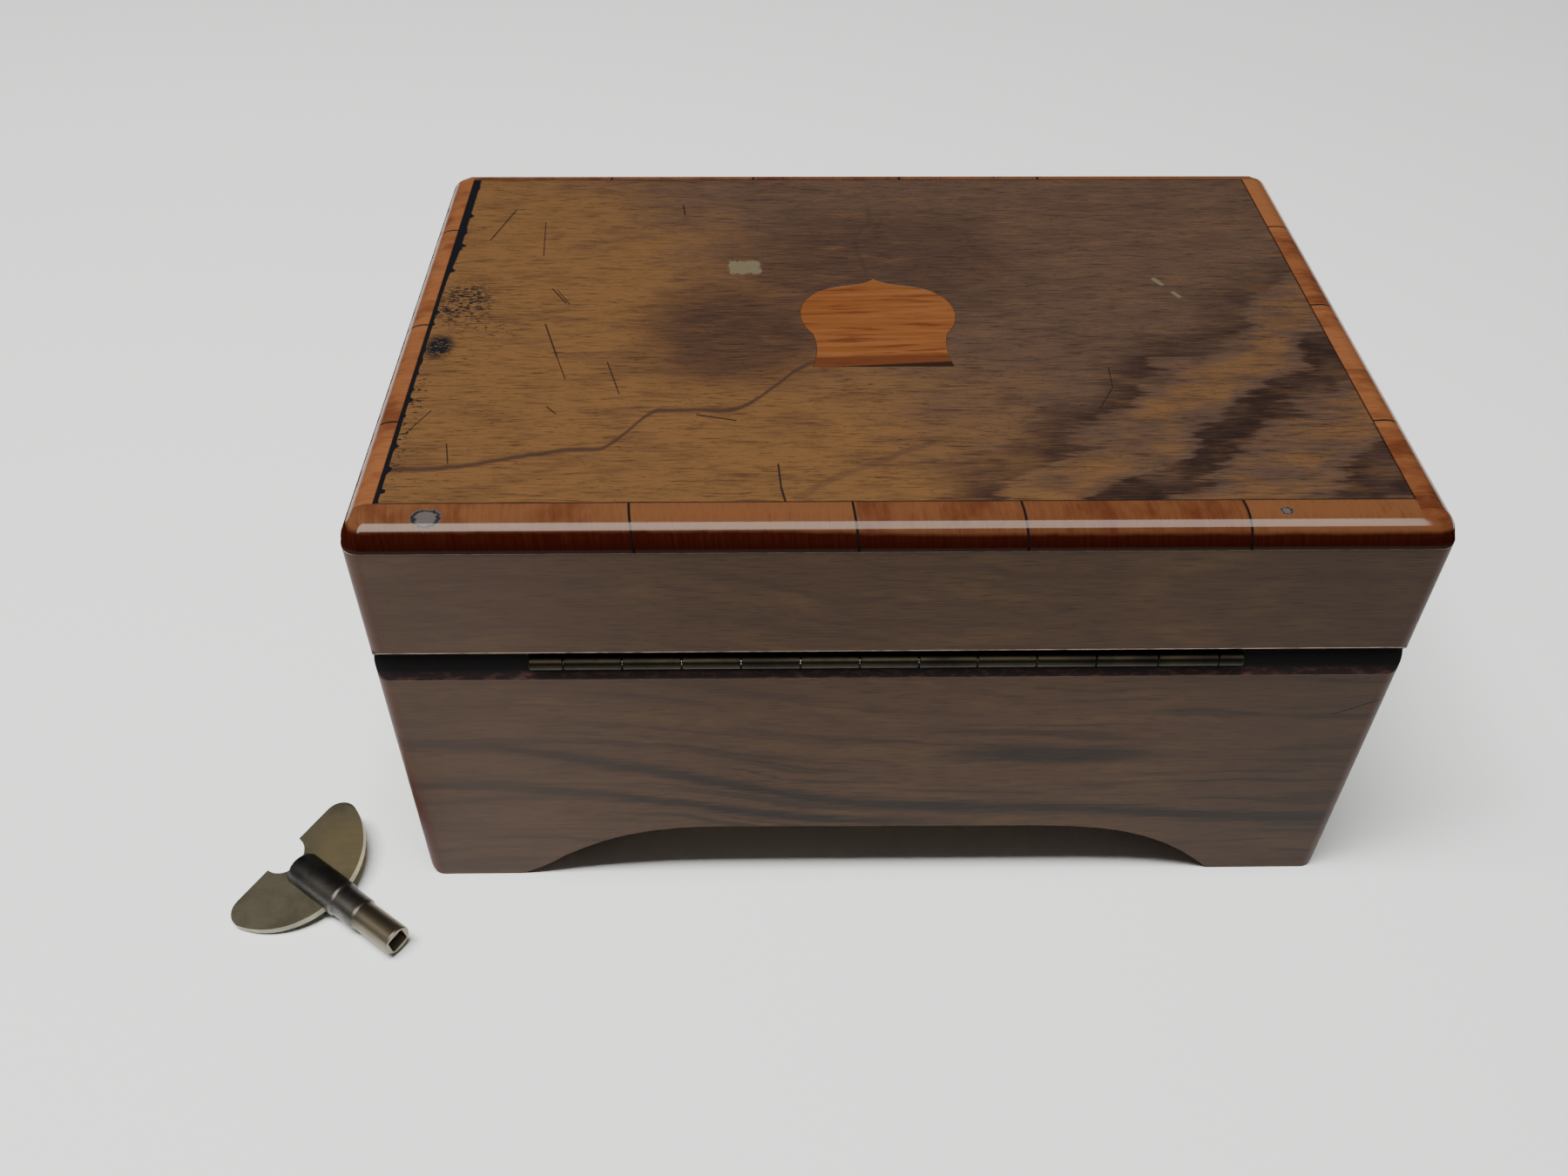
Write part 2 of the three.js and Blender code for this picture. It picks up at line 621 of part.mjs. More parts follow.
function placeThirdWheel() {
  const pinion = extrude(spur(thirdPinionTeeth, thirdDrop + Math.PI, thirdAxis), "x", 49.7, 51.5);
  const arbor = rod("x", 0.9, 46.5, 59, thirdAxis, 12);
  const teeth = gearOutline(wormWheelTeeth, (wormWheelTeeth * wormModule) / 2, 0, thirdAxis, 0.5, 0.75);
  const wheel = extrude(teeth, "x", wormWheelX - 0.5, wormWheelX + 0.5);
  place("worm_wheel", join(pinion, arbor, wheel), brass);
}

// A right-handed thread: a tapered ridge swept round Z, with a gap facing the worm wheel at its height.
function wormThread(turns, stepsPerTurn) {
  const pitch = Math.PI * wormModule;
  const [rootR, tipR] = [1.3, wormPitchRadius + 0.5];
  const section = [
    [rootR, -0.27 * pitch],
    [tipR, -0.11 * pitch],
    [tipR, 0.11 * pitch],
    [rootR, 0.27 * pitch],
  ];
  const steps = turns * stepsPerTurn;
  const positions = [];
  for (let i = 0; i <= steps; i++) {
    const turn = i / stepsPerTurn - turns / 2;
    const angle = 2 * Math.PI * turn - Math.PI / 2;
    const z = thirdAxis[1] + pitch * (turn + 0.5);
    for (const [radius, rise] of section) {
      positions.push(wormWheelX + radius * Math.cos(angle), wormY + radius * Math.sin(angle), z + rise);
    }
  }
  const faces = [];
  const quad = (a, b, c, d) => faces.push(a, b, c, a, c, d);
  for (let i = 0; i < steps; i++) {
    for (let k = 0; k < 4; k++) {
      const next = (k + 1) % 4;
      quad(4 * i + k, 4 * (i + 1) + k, 4 * (i + 1) + next, 4 * i + next);
    }
  }
  quad(0, 1, 2, 3);
  quad(4 * steps + 3, 4 * steps + 2, 4 * steps + 1, 4 * steps);
  const geometry = new THREE.BufferGeometry();
  geometry.setAttribute("position", new THREE.Float32BufferAttribute(positions, 3));
  geometry.setIndex(faces);
  return solidOf(geometry);
}

function placeEndlessScrew() {
  const shaft = rod("z", 0.85, 20, 46.6, wormSpot, 12);
  const core = rod("z", 1.5, 24.6, 36.6, wormSpot, 12);
  place("endless_screw", join(shaft, core, wormThread(4, 10)), steel);
  const blade = block([-flyReach + 0.1, flyReach - 0.1], [-0.25, 0.25], [38.6, 44.8]);
  const hub = rod("z", 1.5, 38.6, 44.8, [0, 0], 12);
  const bore = rod("z", 0.95, 30, 50, [0, 0], 12);
  const fly = cut(join(blade, hub), bore).rotate([0, 0, 50]).translate([...wormSpot, 0]);
  place("fly", fly, brass);
}

function placeGovernorFrame() {
  const plate = shapeOf([
    [-2, bedTopZ],
    [34, bedTopZ],
    [34, 33],
    [25, 41.5],
    [7.5, 41.5],
    [4, 41],
    [0, 39.5],
    [-2, 36],
  ]);
  const bores = [
    rod("x", 1.9, 40, 60, cylinderAxis),
    rod("x", 1.1, 40, 60, secondAxis, 12),
    rod("x", 1, 40, 60, thirdAxis, 12),
  ];
  place("governor_plate", cut(extrude(plate, "x", 46, 48.5), ...bores), brass);
  const [thirdY, thirdZ] = thirdAxis;
  const cock = block([57.5, 59.5], [thirdY - 4, thirdY + 3], [bedTopZ, thirdZ + 3.2]);
  place("third_arbor_cock", cut(cock, rod("x", 1, 50, 62, thirdAxis, 12)), brass);
  const arm = shapeOf([
    [64.5, bedTopZ],
    [64.5, 47.2],
    [51, 47.2],
    [51, 45.6],
    [61, 45.6],
    [61, bedTopZ],
  ]);
  const topBearing = rod("z", 1, 40, 50, wormSpot, 12);
  place("governor_cock", cut(extrude(arm, "y", wormY - 3.2, wormY + 3.2), topBearing), brass);
}

const stopPivot = [40.5, 41.5];

function placeStopWork() {
  const z = [41, 42.2];
  const turned = THREE.MathUtils.degToRad(25);
  const place2d = ([along, across]) => [
    stopPivot[0] + along * Math.cos(turned) - across * Math.sin(turned),
    stopPivot[1] + along * Math.sin(turned) + across * Math.cos(turned),
  ];
  const outline = [
    [-13, -0.9],
    [-13, -2.4],
    [-10.5, -2.4],
    [-9.5, -1.1],
    [0, -1.5],
    [9, -0.7],
    [9.4, 0],
    [9, 0.5],
    [0, 1.5],
    [-9.5, 0.9],
  ];
  const arm = join(extrude(shapeOf(outline.map(place2d)), "z", ...z), rod("z", 2.3, ...z, stopPivot));
  place("stop_lever", cut(arm, rod("z", 1.15, 30, 50, stopPivot, 12)), steel);
  const post = join(rod("z", 2, bedTopZ, 40.8, stopPivot), rod("z", 1, 40, 43.2, stopPivot, 12));
  place("stop_post", join(post, rod("z", 1.8, 42.5, 43.6, stopPivot)), brass);
}

// Key

function placeKey() {
  const key = new THREE.Group();
  key.position.set(keyBack.x, keyBack.y, keyBarrelRadius);
  key.rotation.set(keyTilt, 0, keyHeading, "ZYX");
  musicBox.add(key);
  const wingCentre = -3.4;
  const notchRadius = 4;
  const wing = new THREE.Shape();
  wing.absarc(wingCentre, 0, wingRadius, -Math.PI / 2, Math.PI / 2);
  wing.absarc(wingCentre, 0, notchRadius, Math.PI / 2, -Math.PI / 2, true);
  wing.closePath();
  const half = wingThickness / 2;
  place("key_wings", extrude(wing, "z", -half, half, 16), darkBrass, key);
  const slot = block([-1, wingRadius + wingCentre + 0.3], [-5, 5], [-half - 0.3, half + 0.3]);
  const barrel = join(
    rod("x", keyBarrelRadius, 0.9, 13.4, [0, 0], 20),
    rod("x", 3.2, 13, 19, [0, 0], 20),
    rod("x", 2.8, 19, keyLength, [0, 0], 20),
  );
  const across = centred(keySquare * 0.95);
  const socket = block([keyLength - 10, keyLength + 1], across, across);
  place("key_shank", cut(barrel, slot, socket), darkBrass, key);
}

placeBase();
placeBottom();
placeGlass();
placeLidCarcass();
placeLidTop();
placeHinge();
placeBedplate();
placeBarrel();
placeBridge();
placeWindingWork();
placeCylinder();
placeComb();
placeSecondWheel();
placeThirdWheel();
placeEndlessScrew();
placeGovernorFrame();
placeStopWork();
placeKey();

export default musicBox;
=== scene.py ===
import json
import math
import random

import bpy
from mathutils import Euler, Matrix, Vector


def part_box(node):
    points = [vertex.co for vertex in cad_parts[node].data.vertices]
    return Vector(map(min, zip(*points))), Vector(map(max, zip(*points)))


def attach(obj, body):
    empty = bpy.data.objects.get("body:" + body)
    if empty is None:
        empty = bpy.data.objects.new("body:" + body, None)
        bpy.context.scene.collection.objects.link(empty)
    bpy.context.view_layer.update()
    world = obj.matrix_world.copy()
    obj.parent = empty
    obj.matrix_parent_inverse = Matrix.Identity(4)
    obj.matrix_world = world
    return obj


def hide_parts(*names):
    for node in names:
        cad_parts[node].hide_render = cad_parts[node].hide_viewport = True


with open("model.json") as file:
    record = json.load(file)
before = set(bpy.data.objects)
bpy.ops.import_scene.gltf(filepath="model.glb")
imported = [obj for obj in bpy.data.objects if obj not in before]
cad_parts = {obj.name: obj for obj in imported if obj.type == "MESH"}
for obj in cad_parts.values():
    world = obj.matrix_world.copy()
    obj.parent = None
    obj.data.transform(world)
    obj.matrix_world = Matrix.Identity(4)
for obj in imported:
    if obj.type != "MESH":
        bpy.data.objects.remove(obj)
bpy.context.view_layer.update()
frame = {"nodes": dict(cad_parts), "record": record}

mm = 0.001

# the case's own centre and the heights that everything else is placed by
backLow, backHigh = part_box("base_back_panel")
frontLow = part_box("base_front_panel")[0]
caseCentre = Vector(((backLow.x + backHigh.x) / 2, (backHigh.y + frontLow.y) / 2, 0))
wallX = (backHigh.x - backLow.x) / 2 / mm  # half the case's length over the walls
wallY = (backHigh.y - frontLow.y) / 2 / mm
innerX = (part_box("lid_right_rail")[0].x - caseCentre.x) / mm
innerY = (backLow.y - caseCentre.y) / mm
partingZ = backHigh.z / mm
boardLow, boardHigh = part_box("lid_top_board")
fieldX = ((boardLow.x - caseCentre.x) / mm, (boardHigh.x - caseCentre.x) / mm)
fieldY = ((boardLow.y - caseCentre.y) / mm, (boardHigh.y - caseCentre.y) / mm)
bandLowZ = boardLow.z / mm
lidTopZ = boardHigh.z / mm
bandX = (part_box("lid_banding_right")[1].x - caseCentre.x) / mm
bandY = (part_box("lid_banding_back")[1].y - caseCentre.y) / mm


def fromCase(x, y, z):
    return caseCentre + Vector((x, y, z)) * mm


def inCase(point):
    return (point - caseCentre) / mm


def makeActive(piece):
    bpy.ops.object.select_all(action="DESELECT")
    piece.select_set(True)
    bpy.context.view_layer.objects.active = piece


def newPiece(name):
    # names the primitive that an operator has just added, and puts its place into its mesh
    piece = bpy.context.object
    piece.name = name
    piece.data.name = name
    bpy.ops.object.transform_apply(location=True, rotation=True, scale=True)
    return piece


def block(name, low, high, origin=caseCentre):
    # a cube between two corners, in millimetres from its origin
    bpy.ops.object.select_all(action="DESELECT")
    low, high = Vector(low), Vector(high)
    middle = origin + (low + high) / 2 * mm
    bpy.ops.mesh.primitive_cube_add(size=1, location=middle, scale=(high - low) * mm)
    return newPiece(name)


def copyOf(node, name):
    # a CAD solid is loose triangles, so its copy is merged and its flat faces are joined
    piece = bpy.data.objects.new(name, frame["nodes"][node].data.copy())
    bpy.context.collection.objects.link(piece)
    piece.data.materials.clear()
    makeActive(piece)
    bpy.ops.object.mode_set(mode="EDIT")
    bpy.ops.mesh.select_all(action="SELECT")
    bpy.ops.mesh.remove_doubles(threshold=0.003 * mm)
    bpy.ops.mesh.dissolve_limited(angle_limit=math.radians(0.5))
    bpy.ops.object.mode_set(mode="OBJECT")
    return piece


def easeSharpEdges(piece, width, segments=2, sharpness=38, skip=None, worn=0):
    # bevels every sharp edge, but not those whose two ends both pass skip
    makeActive(piece)
    bpy.ops.object.mode_set(mode="EDIT")
    bpy.ops.mesh.select_mode(type="EDGE")
    bpy.ops.mesh.select_all(action="DESELECT")
    bpy.ops.mesh.edges_select_sharp(sharpness=math.radians(sharpness))
    bpy.ops.object.mode_set(mode="OBJECT")
    mesh = piece.data
    kept = []
    for edge in mesh.edges:
        ends = [inCase(mesh.vertices[i].co) for i in edge.vertices]
        kept.append(edge.select and not (skip and skip(*ends)))
    for part in (mesh.vertices, mesh.edges, mesh.polygons):
        part.foreach_set("select", [False] * len(part))
    for edge, keep in zip(mesh.edges, kept):
        edge.select = keep
    bpy.ops.object.mode_set(mode="EDIT")
    bpy.ops.mesh.bevel(
        offset=width * mm,
        segments=segments,
        profile=0.5,
        affect="EDGES",
        clamp_overlap=True,
        material=worn,
    )
    bpy.ops.object.mode_set(mode="OBJECT")


def applyModifier(piece, kind, **settings):
    makeActive(piece)
    modifier = piece.modifiers.new(kind.lower(), kind)
    for name, value in settings.items():
        setattr(modifier, name, value)
    bpy.ops.object.modifier_apply(modifier=modifier.name)


def smooth(piece, angle=40):
    # large flat faces keep flat normals and the eased edges turn smoothly
    makeActive(piece)
    bpy.ops.object.shade_smooth_by_angle(angle=math.radians(angle))
    applyModifier(piece, "WEIGHTED_NORMAL", keep_sharp=True)


def cutWith(piece, tool):
    applyModifier(piece, "BOOLEAN", operation="DIFFERENCE", object=tool, solver="EXACT")
    bpy.data.objects.remove(tool, do_unlink=True)


def turned(name, profile, sides):
    # a lathe: a ring is extruded and resized from one (radius, height) to the next along Z, about the origin
    radius, height = profile[0]
    bpy.ops.object.select_all(action="DESELECT")
    bpy.ops.mesh.primitive_circle_add(
        vertices=sides, radius=radius * mm, fill_type="NGON", location=(0, 0, height * mm)
    )
    piece = newPiece(name)
    bpy.ops.object.mode_set(mode="EDIT")
    bpy.ops.mesh.select_all(action="SELECT")
    for nextRadius, nextHeight in profile[1:]:
        bpy.ops.mesh.extrude_region_move(
            TRANSFORM_OT_translate={"value": (0, 0, (nextHeight - height) * mm)}
        )
        ratio = nextRadius / radius
        bpy.ops.transform.resize(
            value=(ratio, ratio, 1), center_override=(0, 0, nextHeight * mm)
        )
        radius, height = nextRadius, nextHeight
    bpy.ops.mesh.select_all(action="SELECT")
    bpy.ops.mesh.normals_make_consistent(inside=False)
    bpy.ops.object.mode_set(mode="OBJECT")
    return piece


def moveTo(piece, matrix):
    piece.data.transform(matrix)
    piece.data.update()


def joinPieces(name, pieces):
    bpy.ops.object.select_all(action="DESELECT")
    for piece in pieces:
        piece.select_set(True)
    bpy.context.view_layer.objects.active = pieces[0]
    bpy.ops.object.join()
    joined = bpy.context.object
    joined.name = name
    joined.data.name = name
    return joined


def hand(piece, body, slotName, finishes, *nodes):
    # gives a finished piece its body, its materials and the CAD nodes that it stands for
    piece.data.materials.clear()
    for finish in finishes:
        piece.data.materials.append(finish)
    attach(piece, body)
    if nodes:
        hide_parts(*nodes)


class Wire:
    # one socket of a material; sums written with it become Math nodes
    def __init__(self, tree, socket=None):
        self.tree = tree
        self.socket = socket

    def node(self, kind, settings=None, inputs=None, output=0):
        made = self.tree.nodes.new(kind)
        for name, value in (settings or {}).items():
            setattr(made, name, value)
        for name, value in (inputs or {}).items():
            if isinstance(value, Wire):
                self.tree.links.new(value.socket, made.inputs[name])
            else:
                made.inputs[name].default_value = value
        return Wire(self.tree, made.outputs[output])

    def math(self, operation, *values):
        return self.node("ShaderNodeMath", {"operation": operation}, dict(enumerate(values)))

    def __add__(self, other):
        return self.math("ADD", self, other)

    __radd__ = __add__

    def __sub__(self, other):
        return self.math("SUBTRACT", self, other)

    def __rsub__(self, other):
        return self.math("SUBTRACT", other, self)

    def __mul__(self, other):
        return self.math("MULTIPLY", self, other)

    __rmul__ = __mul__

    def __truediv__(self, other):
        return self.math("DIVIDE", self, other)

    def __pow__(self, other):
        return self.math("POWER", self, other)

    def __abs__(self):
        return self.math("ABSOLUTE", self)

    def least(self, other):
        return self.math("MINIMUM", self, other)

    def most(self, other):
        return self.math("MAXIMUM", self, other)

    # from 0 at low to 1 at high, eased at both ends; low may be the greater
    def rise(self, low, high):
        inputs = {"Value": self, "From Min": low, "From Max": high}
        return self.node("ShaderNodeMapRange", {"interpolation_type": "SMOOTHSTEP"}, inputs)


def mixColour(factor, first, second):
    def colour(value):
        return value if isinstance(value, Wire) else (*value, 1)

    settings = {"data_type": "RGBA"}
    return factor.node("ShaderNodeMix", settings, {0: factor, 6: colour(first), 7: colour(second)}, 2)


def vector(x, y, z):
    wire = next(value for value in (x, y, z) if isinstance(value, Wire))
    return wire.node("ShaderNodeCombineXYZ", None, {"X": x, "Y": y, "Z": z})


def noise(place, detail=3, roughness=0.5):
    inputs = {"Vector": place, "Scale": 1, "Detail": detail, "Roughness": roughness}
    return place.node("ShaderNodeTexNoise", None, inputs, "Fac")


def newMaterial(name):
    # returns the material, its shader and the place on it in millimetres from the case's centre
    material = bpy.data.materials.new(name)
    material.use_nodes = True
    tree = material.node_tree
    shader = tree.nodes["Principled BSDF"]
    start = Wire(tree)
    place = start.node("ShaderNodeTexCoord", output="Object")
    place = start.node("ShaderNodeVectorMath", {"operation": "SUBTRACT"}, {0: place, 1: caseCentre})
    place = start.node("ShaderNodeVectorMath", {"operation": "SCALE"}, {0: place, "Scale": 1 / mm})
    return material, shader, place


def axes(place):
    parted = place.node("ShaderNodeSeparateXYZ", None, {0: place})
    outputs = parted.socket.node.outputs
    return [Wire(place.tree, outputs[i]) for i in range(3)]


def feed(shader, links):
    for name, value in links.items():
        if isinstance(value, Wire):
            value.tree.links.new(value.socket, shader.inputs[name])
        else:
            shader.inputs[name].default_value = value


def bump(height, strength, distance):
    # height is in millimetres
    inputs = {"Height": height, "Strength": strength, "Distance": distance * mm}
    return height.node("ShaderNodeBump", None, inputs, "Normal")


def nearLine(place, start, end, width):
    # 1 on the stretch from start to end and 0 at width from it
    start, end = Vector((*start, 0)), Vector((*end, 0))
    along = end - start
    away = place.node("ShaderNodeVectorMath", {"operation": "SUBTRACT"}, {0: place, 1: start})
    dot = place.node("ShaderNodeVectorMath", {"operation": "DOT_PRODUCT"}, {0: away, 1: along}, "Value")
    share = (dot / along.length_squared).most(0).least(1)
    foot = place.node("ShaderNodeVectorMath", {"operation": "SCALE"}, {0: along, "Scale": share})
    gap = place.node("ShaderNodeVectorMath", {"operation": "DISTANCE"}, {0: away, 1: foot}, "Value")
    return gap.rise(width, width * 0.3)


def blot(x, y, centre, radii):
    # 1 in the middle of an ellipse and 0 at its edge
    across = (x - centre[0]) / radii[0]
    along = (y - centre[1]) / radii[1]
    return ((across * across + along * along) ** 0.5).rise(1, 0.35)


fieldLook = {
    "golden": (0.096, 0.048, 0.0185),
    "brown": (0.050, 0.0300, 0.0205),
    "cloud": (0.028, 0.0155, 0.0115),
    "figure": (0.015, 0.0085, 0.0070),
    "pore": (0.010, 0.0058, 0.0045),
    "filler": (0.004, 0.0045, 0.006),
    "chip": (0.085, 0.075, 0.045),
    "roughness": 0.36,
    "bands": 30,
    "scratches": [
        ((74, -28), (70.5, -40), 0.22),
        ((64, -35), (63, -22), 0.14),
        ((60, -10), (57, -5), 0.2),
        ((59, -9.5), (56.3, -4.6), 0.14),
        ((60, 2), (57, 12), 0.22),
        ((57, 12), (54.8, 19), 0.14),
        ((48, 14), (45.3, 23.4), 0.16),
        ((32, 29.4), (25.6, 31), 0.26),
        ((18.8, 42.6), (18.4, 48.5), 0.24),
        ((18.4, 48.5), (17.8, 51.8), 0.3),
        ((57, 27), (55.4, 29), 0.18),
        ((79, 34), (76, 28), 0.16),
        ((72, 37), (71, 42), 0.16),
        ((-38.6, 16), (-38.2, 22), 0.12),
        ((-38.2, 22), (-35, 28), 0.12),
        ((37, -42), (36.5, -38), 0.2),
    ],
}


def fieldMaterial():
    look = fieldLook
    material, shader, place = newMaterial("walnutField")
    x, y = axes(place)[:2]
    edge = (x - fieldX[0]).least(fieldX[1] - x).least(y - fieldY[0]).least(fieldY[1] - y)
    wander = noise(vector(x / 16, y / 9, 3.1), 3) - 0.5
    fibre = noise(vector(x / 11, y / 0.8, 1.7), 4, 0.6) - 0.5
    feather = noise(vector(x / 15, y / 1.7, 7.7), 4, 0.62) - 0.5
    # the sapwood side is golden and the heart side brown, with a soft border across the middle
    slope = -0.8 * x - 0.6 * y + 34 * wander + 9 * fibre
    colour = mixColour(slope.rise(-34, 12), look["golden"], look["brown"])
    # the dark cloud beside the shield
    cloudX, cloudY = x + 14 * wander, y + 9 * wander + 3 * fibre
    cloud = blot(cloudX, cloudY, (26, 5), (24, 24)).most(0.7 * blot(cloudX, cloudY, (0, -20), (38, 28)))
    colour = mixColour(0.85 * cloud, colour, look["cloud"])
    # wavy bands that climb towards the far left corner
    bend = noise(vector(x / 20, y / 12, 6.4), 2) - 0.5
    climb = y - x - 60 + 26 * bend + 15 * feather + 7 * fibre
    wave = climb.math("COSINE", climb * (2 * math.pi / look["bands"]))
    shown = climb.rise(-12, 8) * (0.3 + 0.7 * (y + 10 * wander).rise(-38, 14))
    patch = noise(vector(x / 12, y / 7, 8.2), 2).rise(0.34, 0.56)
    colour = mixColour(shown * wave.rise(0.15, 0.7) * (0.5 + 0.5 * patch), colour, look["figure"])
    colour = mixColour(0.6 * shown * wave.rise(0, -0.8) * patch, colour, look["golden"])
    # mottling, then fine fibres and pores along the grain
    mottle = noise(vector(x / 9 + 2 * fibre, y / 3.2, 4.4), 4, 0.62)
    colour = mixColour(0.34 * mottle.rise(0.52, 0.36), colour, look["cloud"])
    colour = mixColour(0.25 * mottle.rise(0.54, 0.7), colour, look["golden"])
    fine = noise(vector(x / 4.5, y / 0.3, 5.3), 4, 0.65)
    colour = mixColour(0.4 * fine.rise(0.5, 0.75), colour, look["golden"])
    colour = mixColour(0.65 * fine.rise(0.5, 0.28), colour, look["pore"])
    streak = noise(vector(x / 7, y / 0.35, 12.5), 3, 0.55).rise(0.58, 0.72)
    colour = mixColour(0.6 * streak, colour, look["figure"])
    pores = noise(vector(x / 1.5, y / 0.17, 9.4), 1, 0.4).rise(0.64, 0.74)
    poreShare = noise(vector(x / 7, y / 5, 2.2), 2).rise(0.42, 0.62)
    colour = mixColour(0.75 * pores * (0.35 + 0.65 * poreShare), colour, look["pore"])
    # the growth line that wanders from the corner to the shield, and two shorter ones
    line = 43.6 - 5 * x.rise(76, 49) - 10.5 * x.rise(48, 38) - 14 * x.rise(27, 11)
    line = line + 1.2 * (noise(vector(x / 5, 0, 0), 2) - 0.5)
    wide = 0.35 + 0.5 * noise(vector(x / 8, 4, 0), 2)
    growth = (abs(y - line) / wide).rise(1.6, 0.2) * x.rise(10, 14)
    upper = 1.6 + 1.4 * y.rise(-16, -26) - 3.4 * y.rise(-28, -36)
    second = abs(x - upper).rise(0.9, 0.1) * y.rise(-46, -38) * y.rise(-14, -16)
    third = nearLine(vector(x, y + 7 * wander, 0), (16, 50.5), (-6, 37.5), 1.1)
    colour = mixColour((0.85 * growth).most(0.4 * second).most(0.35 * third), colour, look["cloud"])
    # wear: scratches, pitting and black filler along one edge, and pale chips
    flat = vector(x, y, 0)
    marks = None
    for start, end, width in look["scratches"]:
        mark = nearLine(flat, start, end, width)
        marks = mark if marks is None else marks.most(mark)
    grit = noise(vector(x / 0.9, y / 0.35, 6.6), 2, 0.6)
    pits = blot(x, y, (75.5, -5), (7.5, 11)) * grit.rise(0.5, 0.56)
    pits = pits.most(blot(x, y, (77.8, 9), (3.6, 5.4)) * grit.rise(0.36, 0.42))
    pits = pits.most(blot(x, y, (70, 3), (8, 7)) * grit.rise(0.62, 0.66))
    pits = pits.most(blot(x, y, (79, 30), (2.4, 26)) * grit.rise(0.58, 0.64))
    edgeWidth = 0.7 + 0.8 * y.rise(-10, -26) + 1.3 * (noise(vector(y / 3, 0, 2), 3).rise(0.5, 0.75))
    filler = ((fieldX[1] - x) / edgeWidth).rise(1.1, 0.9)
    colour = mixColour((0.85 * marks).most(pits).most(filler), colour, look["filler"])
    rag = 2.2 * (noise(vector(x / 1.5, y / 1.2, 4), 3) - 0.5)
    chip = (abs(x - 24.4) + rag).rise(3.2, 2.7) * (abs(y + 17.6) + rag).rise(2.5, 2.1)
    chip = chip.most(nearLine(flat, (-52.6, -13), (-53.6, -11.2), 0.75))
    chip = chip.most(nearLine(flat, (-55.2, -8.2), (-56, -6.8), 0.65))
    colour = mixColour(chip * (0.55 + 0.45 * grit), colour, look["chip"])
    colour = mixColour(0.7 * edge.rise(0.3, 0.05), colour, look["pore"])
    height = 0 - 0.5 * pores - 0.8 * marks - 0.8 * pits - 0.5 * chip + 0.25 * fine
    feed(
        shader,
        {
            "Base Color": colour,
            "Roughness": look["roughness"] + 0.12 * fine + 0.3 * pits.most(chip),
            "Normal": bump(height, 0.5, 0.06),
            "Specular IOR Level": 0.25,
            "Coat Weight": 0.06,
            "Coat Roughness": 0.22,
        },
    )
    return material


bandLook = {
    "orange": (0.098, 0.040, 0.0165),
    "litSideOrange": (0.145, 0.055, 0.0210),
    "red": (0.050, 0.0125, 0.0055),
    # painted shade for the lower half of the rounded edge
    "varnishShade": (0.020, 0.0029, 0.0016),
    "murk": (0.030, 0.022, 0.018),
    "joint": (0.006, 0.005, 0.005),
    "dents": [((72.3, 54.9), (2.9, 2.1)), ((-58.8, 54.4), (1.5, 0.8)), ((-28, -54.6), (1.8, 0.9))],
    "dentGrey": (0.060, 0.056, 0.055),
    "backJoints": [41.3, 7.0, -18.95, -53.2],
    "frontJoints": [52, 22.5, -8, -37],
    "rightJoints": [-30, 4, 33],
    "leftJoints": [-31, -2, 33.5],
    "roughness": 0.16,
}


